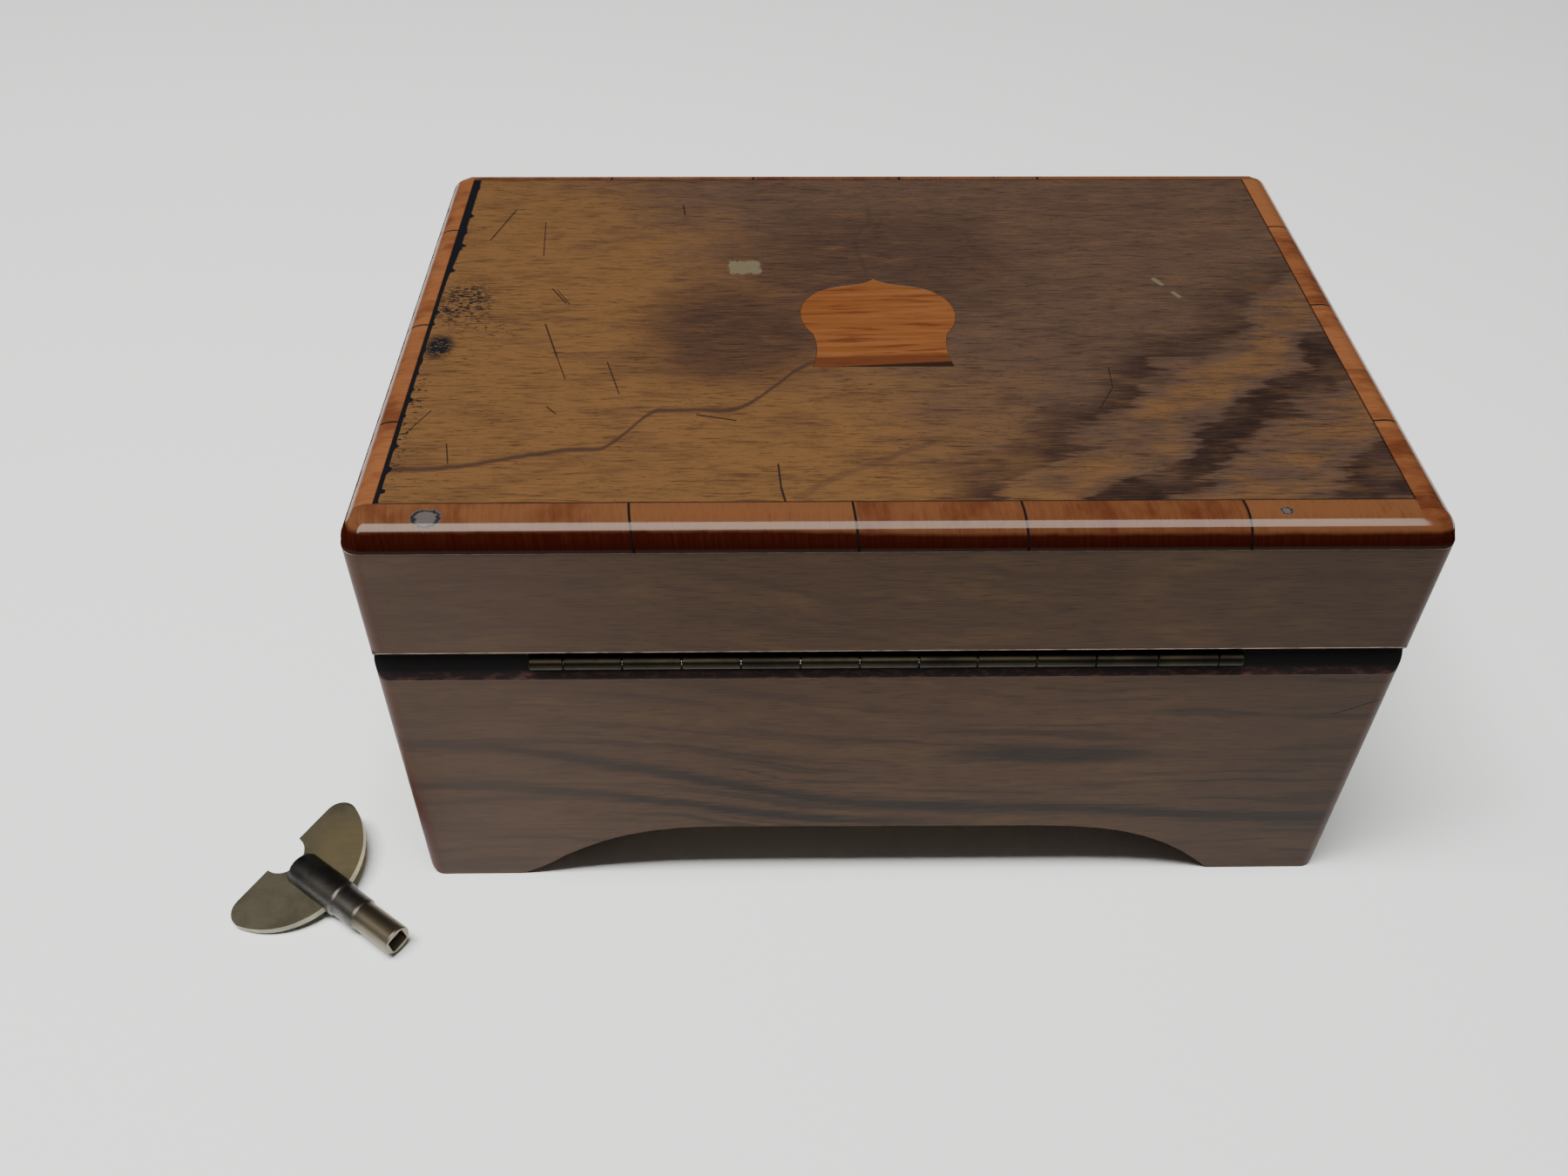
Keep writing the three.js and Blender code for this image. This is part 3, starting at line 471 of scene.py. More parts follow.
def bandMaterial(name, joints, alongX, seed):
    # cross-grained strips: the grain runs over the edge, and each length has a tone of its own
    look = bandLook
    material, shader, place = newMaterial(name)
    x, y, z = axes(place)
    along, across = (x, y) if alongX else (y, x)
    over = abs(across) * 0.7 + z * -0.7
    lean = along + 0.12 * over
    tone = None
    seam = None
    for joint in joints:
        past = along.math("GREATER_THAN", along, joint)
        edge = abs(along - joint + 0.12 * over - 0.12 * (bandY - lidTopZ) * 0.7).rise(0.3, 0.1)
        tone = past if tone is None else tone + past
        seam = edge if seam is None else seam.most(edge)
    own = tone.node("ShaderNodeTexWhiteNoise", {"noise_dimensions": "1D"}, {"W": tone + seed}, "Value")
    broad = noise(vector(lean / 4.5, over / 7, seed), 3, 0.55)
    stripe = noise(vector(lean / 0.55, over / 9, seed + 3), 4, 0.6)
    hair = noise(vector(lean / 0.16, over / 3, seed + 5), 2, 0.5)
    red = (0.55 * broad.rise(0.42, 0.7) + 0.7 * (own - 0.55) + 0.8 * (stripe - 0.45)).most(0).least(1)
    # the side strips take a paler orange: painted light on their sideways-facing rounded edges, which the
    # lamps light less
    colour = mixColour(red, look["orange"] if alongX else look["litSideOrange"], look["red"])
    colour = mixColour(0.45 * hair.rise(0.52, 0.75), colour, look["red"])
    # the lower half of the rounded edge is painted dark red in a varnish tone: painted shade for the dark
    # reflection below the highlight
    shadedLower = (z - 0.7 * x.rise(-10, 25) + 0.8 * (broad - 0.5)).rise(lidTopZ - 1.8, lidTopZ - 2.6)
    colour = mixColour(shadedLower * (0.82 + 0.3 * stripe), colour, look["varnishShade"])
    # darker along the band's lower edge, next to the wall
    rim = z.rise(bandLowZ + 0.9, bandLowZ + 0.25)
    colour = mixColour(0.8 * rim, colour, look["murk"])
    outside = (fieldX[0] - x).most(x - fieldX[1]).most(fieldY[0] - y).most(y - fieldY[1])
    inner = outside.rise(0.22, 0.05)
    colour = mixColour(seam.most(0.7 * inner), colour, look["joint"])
    for spot, radii in look["dents"]:
        ragged = 1.8 * (noise(vector(x / 1.1, y / 0.9, seed), 3, 0.6) - 0.5)
        dent = blot(x + ragged, y + ragged, spot, radii)
        colour = mixColour(0.9 * dent.rise(0.05, 0.35), colour, look["dentGrey"])
        colour = mixColour(0.85 * dent.rise(0.2, 0.45) * dent.rise(0.9, 0.6), colour, look["joint"])
    height = 0.2 * stripe + 0.35 * noise(vector(lean / 7, over / 5, seed + 7), 2) - 0.8 * seam
    feed(
        shader,
        {
            "Base Color": colour,
            "Roughness": look["roughness"] + 0.14 * broad + 0.3 * seam,
            "Normal": bump(height, 0.35, 0.08),
            "Specular IOR Level": 0.0,
            "Coat Weight": (0.82 + 0.1 * x.rise(10, 60)) * (1 - shadedLower).rise(0.02, 0.5),
            "Coat Roughness": 0.09,
        },
    )
    return material


wallLook = {
    "brown": (0.066, 0.0345, 0.0185),
    "lid": (0.058, 0.0295, 0.0150),
    "gold": (0.095, 0.051, 0.021),
    "paintedSheen": (0.098, 0.064, 0.047),
    "streak": (0.014, 0.0100, 0.0082),
    "pore": (0.011, 0.007, 0.005),
    "corner": (0.060, 0.0115, 0.0075),
    "groove": (0.0018, 0.0024, 0.0036),
    "rubbed": (0.058, 0.025, 0.0185),
    "inside": (0.012, 0.007, 0.005),
    "worn": (0.50, 0.38, 0.28),
    "roughness": 0.36,
}


def wallMaterial(name, worn=False):
    look = wallLook
    material, shader, place = newMaterial(name)
    x, y, z = axes(place)
    onEnd = (abs(x) - wallX).math("GREATER_THAN", abs(x) - wallX, abs(y) - wallY)
    along = x + onEnd * (y * 1.4 + 37 - x)
    # the grain climbs towards the hinge's left end and dips in the middle
    wander = noise(vector(along / 26, z / 14, 2), 2) - 0.5
    level = z - 5.5 * along.rise(-60, 70) - 4.5 * along.rise(8, 46) + 5 * wander
    fibre = noise(vector(along / 14, z / 0.7, 5), 4, 0.6) - 0.5
    band = noise(vector(along / 60, level / 2.3 + 0.7 * fibre, 11), 3, 0.55)
    onBase = z.rise(partingZ, partingZ - 14)
    colour = mixColour(onBase, look["lid"], look["brown"])
    mottle = noise(vector(along / 18, level / 5, 4), 4, 0.6)
    colour = mixColour(0.5 * mottle.rise(0.48, 0.68), colour, look["gold"])
    # two long dark streaks, a shorter one between them and fainter ones everywhere
    soft = z + 5 * fibre + 1.6 * wander
    lower = abs(soft - 15.5 - 11.5 * along.rise(-5, 80)).rise(2, 0.2) * along.rise(-22, 6)
    upper = abs(soft - 16 - 4 * along.rise(-75, -15) - 18.5 * along.rise(-10, 82)).rise(2.6, 0.3)
    short = blot(along, soft, (-30, 34.6), (27, 3.4))
    streaks = (0.85 * lower).most(0.8 * upper).most(0.75 * short)
    everywhere = 0.55 * band.rise(0.5, 0.64) * (0.35 + 0.65 * onBase)
    streaks = (streaks * (0.8 + 0.6 * mottle)).least(1).most(everywhere)
    colour = mixColour(streaks, colour, look["streak"])
    fine = noise(vector(along / 6, z / 0.3, 7), 4, 0.62)
    colour = mixColour(0.6 * fine.rise(0.52, 0.3), colour, look["pore"])
    colour = mixColour(0.4 * fine.rise(0.55, 0.75), colour, look["gold"])
    # paler towards the +X end, where the light comes from: a painted sheen
    paler = along.rise(15, 84) * (0.6 + 0.4 * mottle)
    colour = mixColour(0.5 * paler, colour, look["paintedSheen"])
    colour = mixColour(0.3 * along.rise(-40, -84), colour, look["streak"])
    nicks = noise(vector(along / 1.4, z / 0.35, 13), 1, 0.5).rise(0.73, 0.79)
    colour = mixColour(0.6 * nicks, colour, look["pore"])
    # reddish varnish on the rounded corners, rubbed through low at one of them
    corner = (abs(x) - wallX + 4).rise(0, 3.4) * (abs(y) - wallY + 4).rise(0, 3.4)
    rub = (z + 9 * (noise(vector(x / 2, y / 2, z / 3), 3) - 0.5)).rise(31, 20) * x.rise(wallX - 5, wallX - 2)
    colour = mixColour((0.45 * corner).most(corner * rub), colour, look["corner"])
    # a crack near the other end
    crack = nearLine(vector(x, z + 0.8 * wander, 0), (-77, 45), (-84, 48.6), 0.28) * y.rise(innerY, wallY)
    colour = mixColour(crack, colour, look["pore"])
    # inside the case and in the hinge's groove
    inside = (abs(x) - innerX).most(abs(y) - innerY).rise(0.12, 0.04)
    colour = mixColour(inside, colour, look["inside"])
    groove = abs(z - partingZ + 0.05).rise(3.3, 3.1) * y.rise(innerY + 3.2, innerY + 3.5)
    groove = groove * (wallY - 0.04 - y).rise(-0.03, 0.0).most(abs(z - partingZ).rise(3.15, 3.0))
    murk = noise(vector(x / 2.4, z / 0.7, 21), 4, 0.6)
    # the groove is near black: dark-stained wood, with painted shade from the lid above it
    black = mixColour(0.5 * murk.rise(0.5, 0.8), look["groove"], look["pore"])
    bare = (z + 1.4 * (murk - 0.5)).rise(partingZ - 1.7, partingZ - 2.3) * (0.5 + 0.5 * abs(x).rise(66, 58))
    black = mixColour(bare * (0.25 + 0.75 * murk.rise(0.48, 0.62)), black, look["rubbed"])
    colour = mixColour(groove, colour, black)
    seam = abs(z - partingZ).rise(0.35, 0.12)
    colour = mixColour(0.9 * seam, colour, look["pore"])
    if worn:
        rubbed = noise(vector(along / 2.5, z / 2.5, 9), 3).rise(0.3, 0.6)
        colour = mixColour(0.25 + 0.7 * rubbed, colour, look["worn"])
    height = 0.3 * fine - 0.8 * nicks - crack + groove * murk
    feed(
        shader,
        {
            "Base Color": colour,
            "Roughness": look["roughness"] + 0.14 * fine + 0.2 * inside.most(groove),
            "Normal": bump(height, 0.45, 0.06),
            "Specular IOR Level": 0.12,
        },
    )
    return material


inlayLook = {
    "orange": (0.110, 0.036, 0.0095),
    "pale": (0.132, 0.050, 0.0170),
    "red": (0.055, 0.0155, 0.0062),
    "joint": (0.008, 0.0055, 0.004),
    "roughness": 0.34,
}


def inlayMaterial():
    look = inlayLook
    material, shader, place = newMaterial("tulipwoodInlay")
    x, y = axes(place)[:2]
    tilt = y - 0.03 * x
    stripe = noise(vector(x / 26, tilt / 1.5, 1), 3, 0.6)
    hair = noise(vector(x / 5, tilt / 0.25, 4), 3, 0.6)
    colour = mixColour(stripe.rise(0.35, 0.6), look["pale"], look["orange"])
    colour = mixColour(0.8 * noise(vector(x / 12, tilt / 1.1, 7), 3).rise(0.52, 0.68), colour, look["red"])
    colour = mixColour(0.35 * hair.rise(0.5, 0.75), colour, look["red"])
    colour = mixColour(0.8 * (tilt + 0.8 * (stripe - 0.5)).rise(11.6, 12.6), colour, look["red"])
    patched = (tilt + 0.045 * (8 - x)).rise(15.1, 15.4)
    colour = mixColour(0.9 * patched, colour, look["joint"])
    feed(
        shader,
        {
            "Base Color": colour,
            "Roughness": look["roughness"] + 0.1 * hair,
            "Normal": bump(0.3 * hair + 0.2 * stripe, 0.3, 0.05),
            "Coat Weight": 0.25,
            "Coat Roughness": 0.22,
        },
    )
    return material


def plainWoodMaterial():
    look = {"pale": (0.17, 0.115, 0.070), "dark": (0.085, 0.055, 0.034), "roughness": 0.6}
    material, shader, place = newMaterial("whitewood")
    x, y, z = axes(place)
    rings = noise(vector(x / 60, y / 3.2 + z / 9, 2), 3, 0.55)
    fine = noise(vector(x / 7, y / 0.35, z / 2), 3, 0.6)
    colour = mixColour(rings.rise(0.35, 0.7), look["pale"], look["dark"])
    colour = mixColour(0.4 * fine.rise(0.5, 0.72), colour, look["dark"])
    feed(
        shader,
        {
            "Base Color": colour,
            "Roughness": look["roughness"] + 0.15 * fine,
            "Normal": bump(0.4 * fine + 0.3 * rings, 0.4, 0.08),
        },
    )
    return material


def metalMaterial(name, bright, dull, roughness, grain=(30, 0.5, 0.5), tarnish=0.5, gilt=None):
    # a worked metal: faint tool lines along the first axis and cloudy tarnish
    material, shader, place = newMaterial(name)
    x, y, z = axes(place)
    cloud = noise(vector(x / 7, y / 7, z / 7), 4, 0.6)
    lines = noise(vector(x / grain[0], y / grain[1], z / grain[2]), 3, 0.6)
    specks = noise(vector(x / 0.7, y / 0.7, z / 0.7), 2, 0.5).rise(0.66, 0.74)
    colour = mixColour(tarnish * cloud.rise(0.35, 0.7), bright, dull)
    colour = mixColour(0.25 * lines.rise(0.4, 0.7), colour, dull)
    colour = mixColour(0.5 * tarnish * specks, colour, dull)
    if gilt:
        # rubbed bright around one spot
        centre, reach, tone = gilt
        gap = place.node("ShaderNodeVectorMath", {"operation": "DISTANCE"}, {0: place, 1: centre}, "Value")
        rubbed = (gap + 5 * (cloud - 0.5)).rise(reach, reach * 0.35)
        colour = mixColour(0.8 * rubbed, colour, tone)
    feed(
        shader,
        {
            "Base Color": colour,
            "Metallic": 1,
            "Roughness": roughness + 0.14 * cloud + 0.08 * lines + 0.15 * specks,
            "Normal": bump(0.3 * lines + 0.2 * cloud, 0.25, 0.03),
        },
    )
    return material


def glassMaterial():
    material, shader, place = newMaterial("clearGlass")
    x, y, z = axes(place)
    dust = noise(vector(x / 9, y / 9, z / 9), 4, 0.6).rise(0.45, 0.8)
    feed(
        shader,
        {
            "Base Color": mixColour(dust, (0.93, 0.97, 0.95), (0.85, 0.89, 0.86)),
            "Roughness": 0.02 + 0.06 * dust,
            "Transmission Weight": 1,
            "IOR": 1.5,
        },
    )
    return material


finish = {
    "field": fieldMaterial(),
    "bandBack": bandMaterial("tulipwoodBandBack", bandLook["backJoints"], True, 1),
    "bandFront": bandMaterial("tulipwoodBandFront", bandLook["frontJoints"], True, 4),
    "bandRight": bandMaterial("tulipwoodBandRight", bandLook["rightJoints"], False, 8),
    "bandLeft": bandMaterial("tulipwoodBandLeft", bandLook["leftJoints"], False, 12),
    "wall": wallMaterial("walnutWall"),
    "wornWall": wallMaterial("walnutWornEdge", True),
    "inlay": inlayMaterial(),
    "whitewood": plainWoodMaterial(),
    "brass": metalMaterial("brass", (0.72, 0.50, 0.22), (0.36, 0.23, 0.09), 0.24),
    # the hinge's brass is near black: tarnish, with painted shade for its place under the lid
    "shadedHingeBrass": metalMaterial("shadedHingeBrass", (0.024, 0.021, 0.014), (0.009, 0.008, 0.007), 0.3, tarnish=0.8),
    "steel": metalMaterial("steel", (0.52, 0.53, 0.54), (0.24, 0.23, 0.22), 0.24, tarnish=0.4),
    "bluedSteel": metalMaterial("bluedSteel", (0.07, 0.10, 0.20), (0.03, 0.035, 0.06), 0.22),
    "glass": glassMaterial(),
    "keyWing": metalMaterial(
        "keyWing",
        (0.36, 0.34, 0.25),
        (0.18, 0.175, 0.125),
        0.36,
        tarnish=0.9,
        gilt=((101, 55, 4), 11, (0.42, 0.36, 0.21)),
    ),
    "keyBarrel": metalMaterial(
        "keyBarrel",
        (0.17, 0.165, 0.15),
        (0.055, 0.058, 0.062),
        0.3,
        tarnish=0.9,
        gilt=((91, 72.8, 4), 9, (0.27, 0.235, 0.165)),
    ),
}
print("materials made")


caseShape = {
    "ease": 0.35,
    "grooveEase": 0.12,
    "fieldEase": 0.12,
    "cornerRadius": 3.2,
    "edgeRadius": 4.7,
    "shieldY": 0.5,
}


def atJoint(a, b):
    # the hidden edges where two panels of the case meet
    return all(abs(abs(p.y) - innerY) < 0.02 and abs(p.x) > innerX - 0.02 for p in (a, b))


def makeWalls():
    def skip(a, b):
        inner = all(abs(p.x) < innerX + 0.02 and abs(p.y) < innerY + 0.02 for p in (a, b))
        return atJoint(a, b) or inner

    for side in ("back", "front", "right", "left"):
        for part, body, nodeEnd in (("base", "case", "panel"), ("lid", "lid", "rail")):
            node = f"{part}_{side}_{nodeEnd}"
            piece = copyOf(node, f"{part}{side.capitalize()}Wall")
            piece.data.materials.append(finish["wall"])
            piece.data.materials.append(finish["wornWall"])
            width = caseShape["ease"] if part == "base" else caseShape["grooveEase"]
            easeSharpEdges(piece, width, 2, 38, skip, 1)
            smooth(piece, 42)
            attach(piece, body)
            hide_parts(node)


makeWalls()
print("walls made")


def outlineSolid(name, corners, lowZ, highZ, fineness=12):
    # a flat solid about the origin
    # each corner is a point, its leaving handle and the next point's arriving handle
    curve = bpy.data.curves.new(name, "CURVE")
    curve.dimensions = "2D"
    curve.fill_mode = "BOTH"
    curve.resolution_u = fineness
    curve.extrude = (highZ - lowZ) / 2
    spline = curve.splines.new("BEZIER")
    spline.bezier_points.add(len(corners) - 1)
    spline.use_cyclic_u = True
    for i, (corner, leaving, arriving) in enumerate(corners):
        point = spline.bezier_points[i]
        point.handle_left_type = "FREE"
        point.handle_right_type = "FREE"
        point.co = (*corner, 0)
        point.handle_right = (*leaving, 0)
        following = spline.bezier_points[(i + 1) % len(corners)]
        following.handle_left_type = "FREE"
        following.handle_left = (*arriving, 0)
    piece = bpy.data.objects.new(name, curve)
    bpy.context.collection.objects.link(piece)
    makeActive(piece)
    bpy.ops.object.convert(target="MESH")
    piece = bpy.context.object
    middle = Matrix.Translation((0, 0, (lowZ + highZ) / 2 * mm))
    moveTo(piece, middle @ Matrix.Diagonal((mm, mm, mm, 1)))
    bpy.ops.object.mode_set(mode="EDIT")
    bpy.ops.mesh.select_all(action="SELECT")
    bpy.ops.mesh.remove_doubles(threshold=0.002 * mm)
    bpy.ops.mesh.normals_make_consistent(inside=False)
    bpy.ops.object.mode_set(mode="OBJECT")
    return piece


def shieldTool(name, lowZ, highZ):
    # an upright shield: a flat edge to the hinge, a waist, a full belly and a point to the front
    corners = [
        ((-12, 15), (-10.9, 11), (-11, 7.5)),
        ((-11.8, 4.6), (-14.6, 1), (-14.8, -5.6)),
        ((-10.4, -9.2), (-8.8, -10.4), (-6.9, -11.1)),
        ((-4.6, -11.4), (-2.5, -11.8), (-0.8, -12.6)),
        ((0.3, -13.9), (1.4, -12.6), (3.1, -11.8)),
        ((5.2, -11.4), (7.4, -11.1), (9.3, -10.4)),
        ((11, -9.2), (15.2, -5.6), (15, 1)),
        ((12.2, 4.6), (11.4, 7.5), (11.3, 11)),
        ((12.4, 15), (4, 15), (-4, 15)),
    ]
    piece = outlineSolid(name, corners, lowZ, highZ)
    moveTo(piece, Matrix.Translation(fromCase(0, caseShape["shieldY"], 0)))
    return piece


def makeLidTop():
    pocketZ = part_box("lid_inlay_shield")[0].z / mm
    board = block("lidTopBoard", (fieldX[0], fieldY[0], bandLowZ), (fieldX[1], fieldY[1], lidTopZ))
    cutWith(board, shieldTool("pocket", pocketZ, lidTopZ + 1))

    def belowTop(a, b):
        return min(a.z, b.z) < lidTopZ - 0.01

    easeSharpEdges(board, caseShape["fieldEase"], 1, 38, belowTop)
    smooth(board)
    hand(board, "lid", "walnut_veneer", [finish["field"]], "lid_top_board")
    shield = shieldTool("lidShield", pocketZ + 0.02, lidTopZ - 0.02)
    easeSharpEdges(shield, 0.06, 1, 38, belowTop)
    smooth(shield)
    hand(shield, "lid", "tulipwood", [finish["inlay"]], "lid_inlay_shield")


makeLidTop()


def makeBanding():
    # one slab with rounded corners and edges, parted into four strips that run round like a pinwheel
    slab = block("bandingSlab", (-bandX, -bandY, bandLowZ), (bandX, bandY, lidTopZ))
    mesh = slab.data
    weights = mesh.attributes.new("bevel_weight_edge", "FLOAT", "EDGE")
    for edge in mesh.edges:
        heights = [inCase(mesh.vertices[i].co).z for i in edge.vertices]
        if abs(heights[0] - heights[1]) > 1:
            weights.data[edge.index].value = caseShape["cornerRadius"] / caseShape["edgeRadius"]
        elif min(heights) > lidTopZ - 0.01:
            weights.data[edge.index].value = 1
    width = caseShape["edgeRadius"] * mm
    applyModifier(slab, "BEVEL", width=width, segments=12, limit_method="WEIGHT", use_clamp_overlap=False)
    strips = {
        "back": [(fieldX[0], bandX), (fieldY[1], bandY)],
        "left": [(-bandX, fieldX[0]), (fieldY[0], bandY)],
        "front": [(-bandX, fieldX[1]), (-bandY, fieldY[0])],
        "right": [(fieldX[1], bandX), (-bandY, fieldY[1])],
    }
    for side, (rangeX, rangeY) in strips.items():
        strip = slab.copy()
        strip.data = slab.data.copy()
        strip.name = f"lidBanding{side.capitalize()}"
        bpy.context.collection.objects.link(strip)
        makeActive(strip)
        for axis, (low, high) in enumerate((rangeX, rangeY)):
            for limit, facing in ((low, -1), (high, 1)):
                if abs(limit) > (bandX, bandY)[axis] - 0.01:
                    continue
                normal = [0, 0, 0]
                normal[axis] = facing
                spot = [0, 0, 0]
                spot[axis] = limit
                bpy.ops.object.mode_set(mode="EDIT")
                bpy.ops.mesh.select_all(action="SELECT")
                bpy.ops.mesh.bisect(
                    plane_co=fromCase(*spot), plane_no=normal, use_fill=True, clear_outer=True
                )
                bpy.ops.object.mode_set(mode="OBJECT")

        def shapedEdge(a, b):
            inX = all(fieldX[0] - 0.01 < p.x < fieldX[1] + 0.01 for p in (a, b))
            inY = all(fieldY[0] - 0.01 < p.y < fieldY[1] + 0.01 for p in (a, b))
            return not (inX and inY) or min(a.z, b.z) < lidTopZ - 0.01

        easeSharpEdges(strip, caseShape["fieldEase"], 1, 38, shapedEdge)
        smooth(strip, 30)
        look = finish[f"band{side.capitalize()}"]
        hand(strip, "lid", "tulipwood", [look], f"lid_banding_{side}")
    bpy.data.objects.remove(slab, do_unlink=True)


makeBanding()
print("lid made")


# a piano hinge: two leaves with every second knuckle, a pin with rounded ends, and countersunk screws
hinge = {
    "joints": [-54.2, -44.1, -33.8, -23.9, -14.1, -4.4, 5.4, 15.2, 25, 34.8, 44.6, 54.3],
    "gap": 0.14,
    "knuckleRadius": 1.25,
    "boreRadius": 0.7,
    "screwSpots": [-48, -24, 0, 24, 48],
    "screwRadius": 1.15,
}
pinLow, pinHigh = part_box("hinge_pin")
hingeY = ((pinLow.y + pinHigh.y) / 2 - caseCentre.y) / mm
hingeZ = (pinLow.z + pinHigh.z) / 2 / mm
pinRadius = (pinHigh.z - pinLow.z) / 2 / mm
alongX = Matrix.Rotation(math.pi / 2, 4, "Y")


def knuckle(name, low, high):
    outer, bore = hinge["knuckleRadius"], hinge["boreRadius"]
    profile = [
        (outer - 0.12, low),
        (outer, low + 0.12),
        (outer, high - 0.12),
        (outer - 0.12, high),
        (bore + 0.08, high),
        (bore, high - 0.08),
    ]
    piece = turned(name, profile, 24)
    moveTo(piece, Matrix.Translation(fromCase(0, hingeY, hingeZ)) @ alongX)
    return piece


def screwHead(name, radius, depth, slotWidth):
    # a flat head with its slot, face up with its face at height 0
    piece = turned(name, [(radius * 0.6, -depth), (radius, -0.12), (radius - 0.08, 0)], 24)
    bpy.ops.object.select_all(action="DESELECT")
    bpy.ops.mesh.primitive_cube_add(size=1, scale=(radius * 3 * mm, slotWidth * mm, depth * mm))
    cutWith(piece, newPiece("slot"))
    return piece


def makeHinge():
    ends = [-hinge["joints"][-1] - 4.1] + hinge["joints"] + [hinge["joints"][-1] + 5.7]
    leafNodes = (("hinge_leaf_base", "case", 0, -1), ("hinge_leaf_lid", "lid", 1, 1))
    for node, body, first, side in leafNodes:
        low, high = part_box(node)
        low, high = inCase(low), inCase(high)
        plateZ = sorted((hingeZ + side * 0.15, hingeZ + side * 0.9))
        plateBack = hingeY - hinge["knuckleRadius"] - 0.2
        plate = block(node + "Plate", (low.x, low.y, plateZ[0]), (high.x, plateBack, plateZ[1]))
        easeSharpEdges(plate, 0.1, 1)
        parts = [plate]
        for i in range(first, len(ends) - 1, 2):
            span = (ends[i] + hinge["gap"] / 2, ends[i + 1] - hinge["gap"] / 2)
            parts.append(knuckle(f"knuckle{i}", *span))
            tab = block(f"tab{i}", (span[0], plateBack - 0.3, plateZ[0]), (span[1], hingeY - 0.75, plateZ[1]))
            easeSharpEdges(tab, 0.08, 1)
            parts.append(tab)
        leaf = joinPieces("hingeLeaf" + body.capitalize(), parts)
        smooth(leaf, 36)
        hand(leaf, body, "aged_brass", [finish["shadedHingeBrass"]], node)
        face = hingeZ + side * 0.13
        for i, spot in enumerate(hinge["screwSpots"]):
            head = screwHead(f"hingeScrew{body.capitalize()}{i + 1}", hinge["screwRadius"], 0.6, 0.3)
            turn = Matrix.Rotation(0.7 * i + (0 if side < 0 else 0.4), 4, "Z")
            over = Matrix.Rotation(math.pi if side > 0 else 0, 4, "X")
            middleY = (low.y + plateBack) / 2
            moveTo(head, Matrix.Translation(fromCase(spot, middleY, face)) @ over @ turn)
            smooth(head, 36)
            hand(head, body, "steel", [finish["steel"]])
    half = (pinHigh.x - pinLow.x) / 2 / mm
    profile = [(pinRadius * 0.6, -half), (pinRadius, -half + 0.25), (pinRadius, half - 0.25)]
    pin = turned("hingePin", profile + [(pinRadius * 0.6, half)], 20)
    moveTo(pin, Matrix.Translation((pinLow + pinHigh) / 2) @ alongX)
    smooth(pin, 36)
    hand(pin, "case", "steel", [finish["steel"]], "hinge_pin")


makeHinge()
print("hinge made")


# the winding key lies on its barrel and one wing tip
key = {
    "heading": math.atan2(0.602, -0.798),
    "tilt": math.radians(10),
    "back": (110.8, 57.9, 3.45),
    "wingRadius": 15.5,
    "wingCentre": -3.4,
    "notchRadius": 4,
    "wingCorner": 3.4,
    "wingThickness": 1.5,
    "length": 28.1,
    "square": 3.5,
    "socketDepth": 10,
    "socketReach": 40,
}
keyTurn = Euler((key["tilt"], 0, key["heading"]), "XYZ").to_matrix().to_4x4()
keyPlace = Matrix.Translation(fromCase(*key["back"])) @ keyTurn


def arc(centre, radius, start, end, steps):
    # the outline corners of an arc, from one angle to another in degrees
    step = math.radians(end - start) / steps
    reach = 4 / 3 * math.tan(step / 4) * radius
    corners = []
    for i in range(steps):
        spots = []
        for angle, side in ((math.radians(start) + i * step, 1), (math.radians(start) + (i + 1) * step, -1)):
            spot = Vector(centre) + radius * Vector((math.cos(angle), math.sin(angle)))
            spots.append((spot, spot + side * reach * Vector((-math.sin(angle), math.cos(angle)))))
        corners.append((spots[0][0], spots[0][1], spots[1][1]))
    return corners, spots[1][0]


def wingOutline():
    # a half disc with rounded corners and a round notch behind the barrel
    middle, radius, corner = key["wingCentre"], key["wingRadius"], key["wingCorner"]
    rise = math.sqrt((radius - corner) ** 2 - corner**2)
    turn = math.degrees(math.atan2(rise, corner))
    arcs = [
        arc((middle, 0), radius, -turn, turn, 6),
        arc((middle + corner, rise), corner, turn, 180, 2),
        arc((middle, 0), key["notchRadius"], 90, -90, 4),
        arc((middle + corner, -rise), corner, 180, 360 - turn, 2),
    ]
    corners = []
    for i, (curved, last) in enumerate(arcs):
        corners += curved
        following = arcs[(i + 1) % len(arcs)][0][0][0]
        if (following - last).length > 0.01:
            corners.append((last, last.lerp(following, 1 / 3), last.lerp(following, 2 / 3)))
    return corners


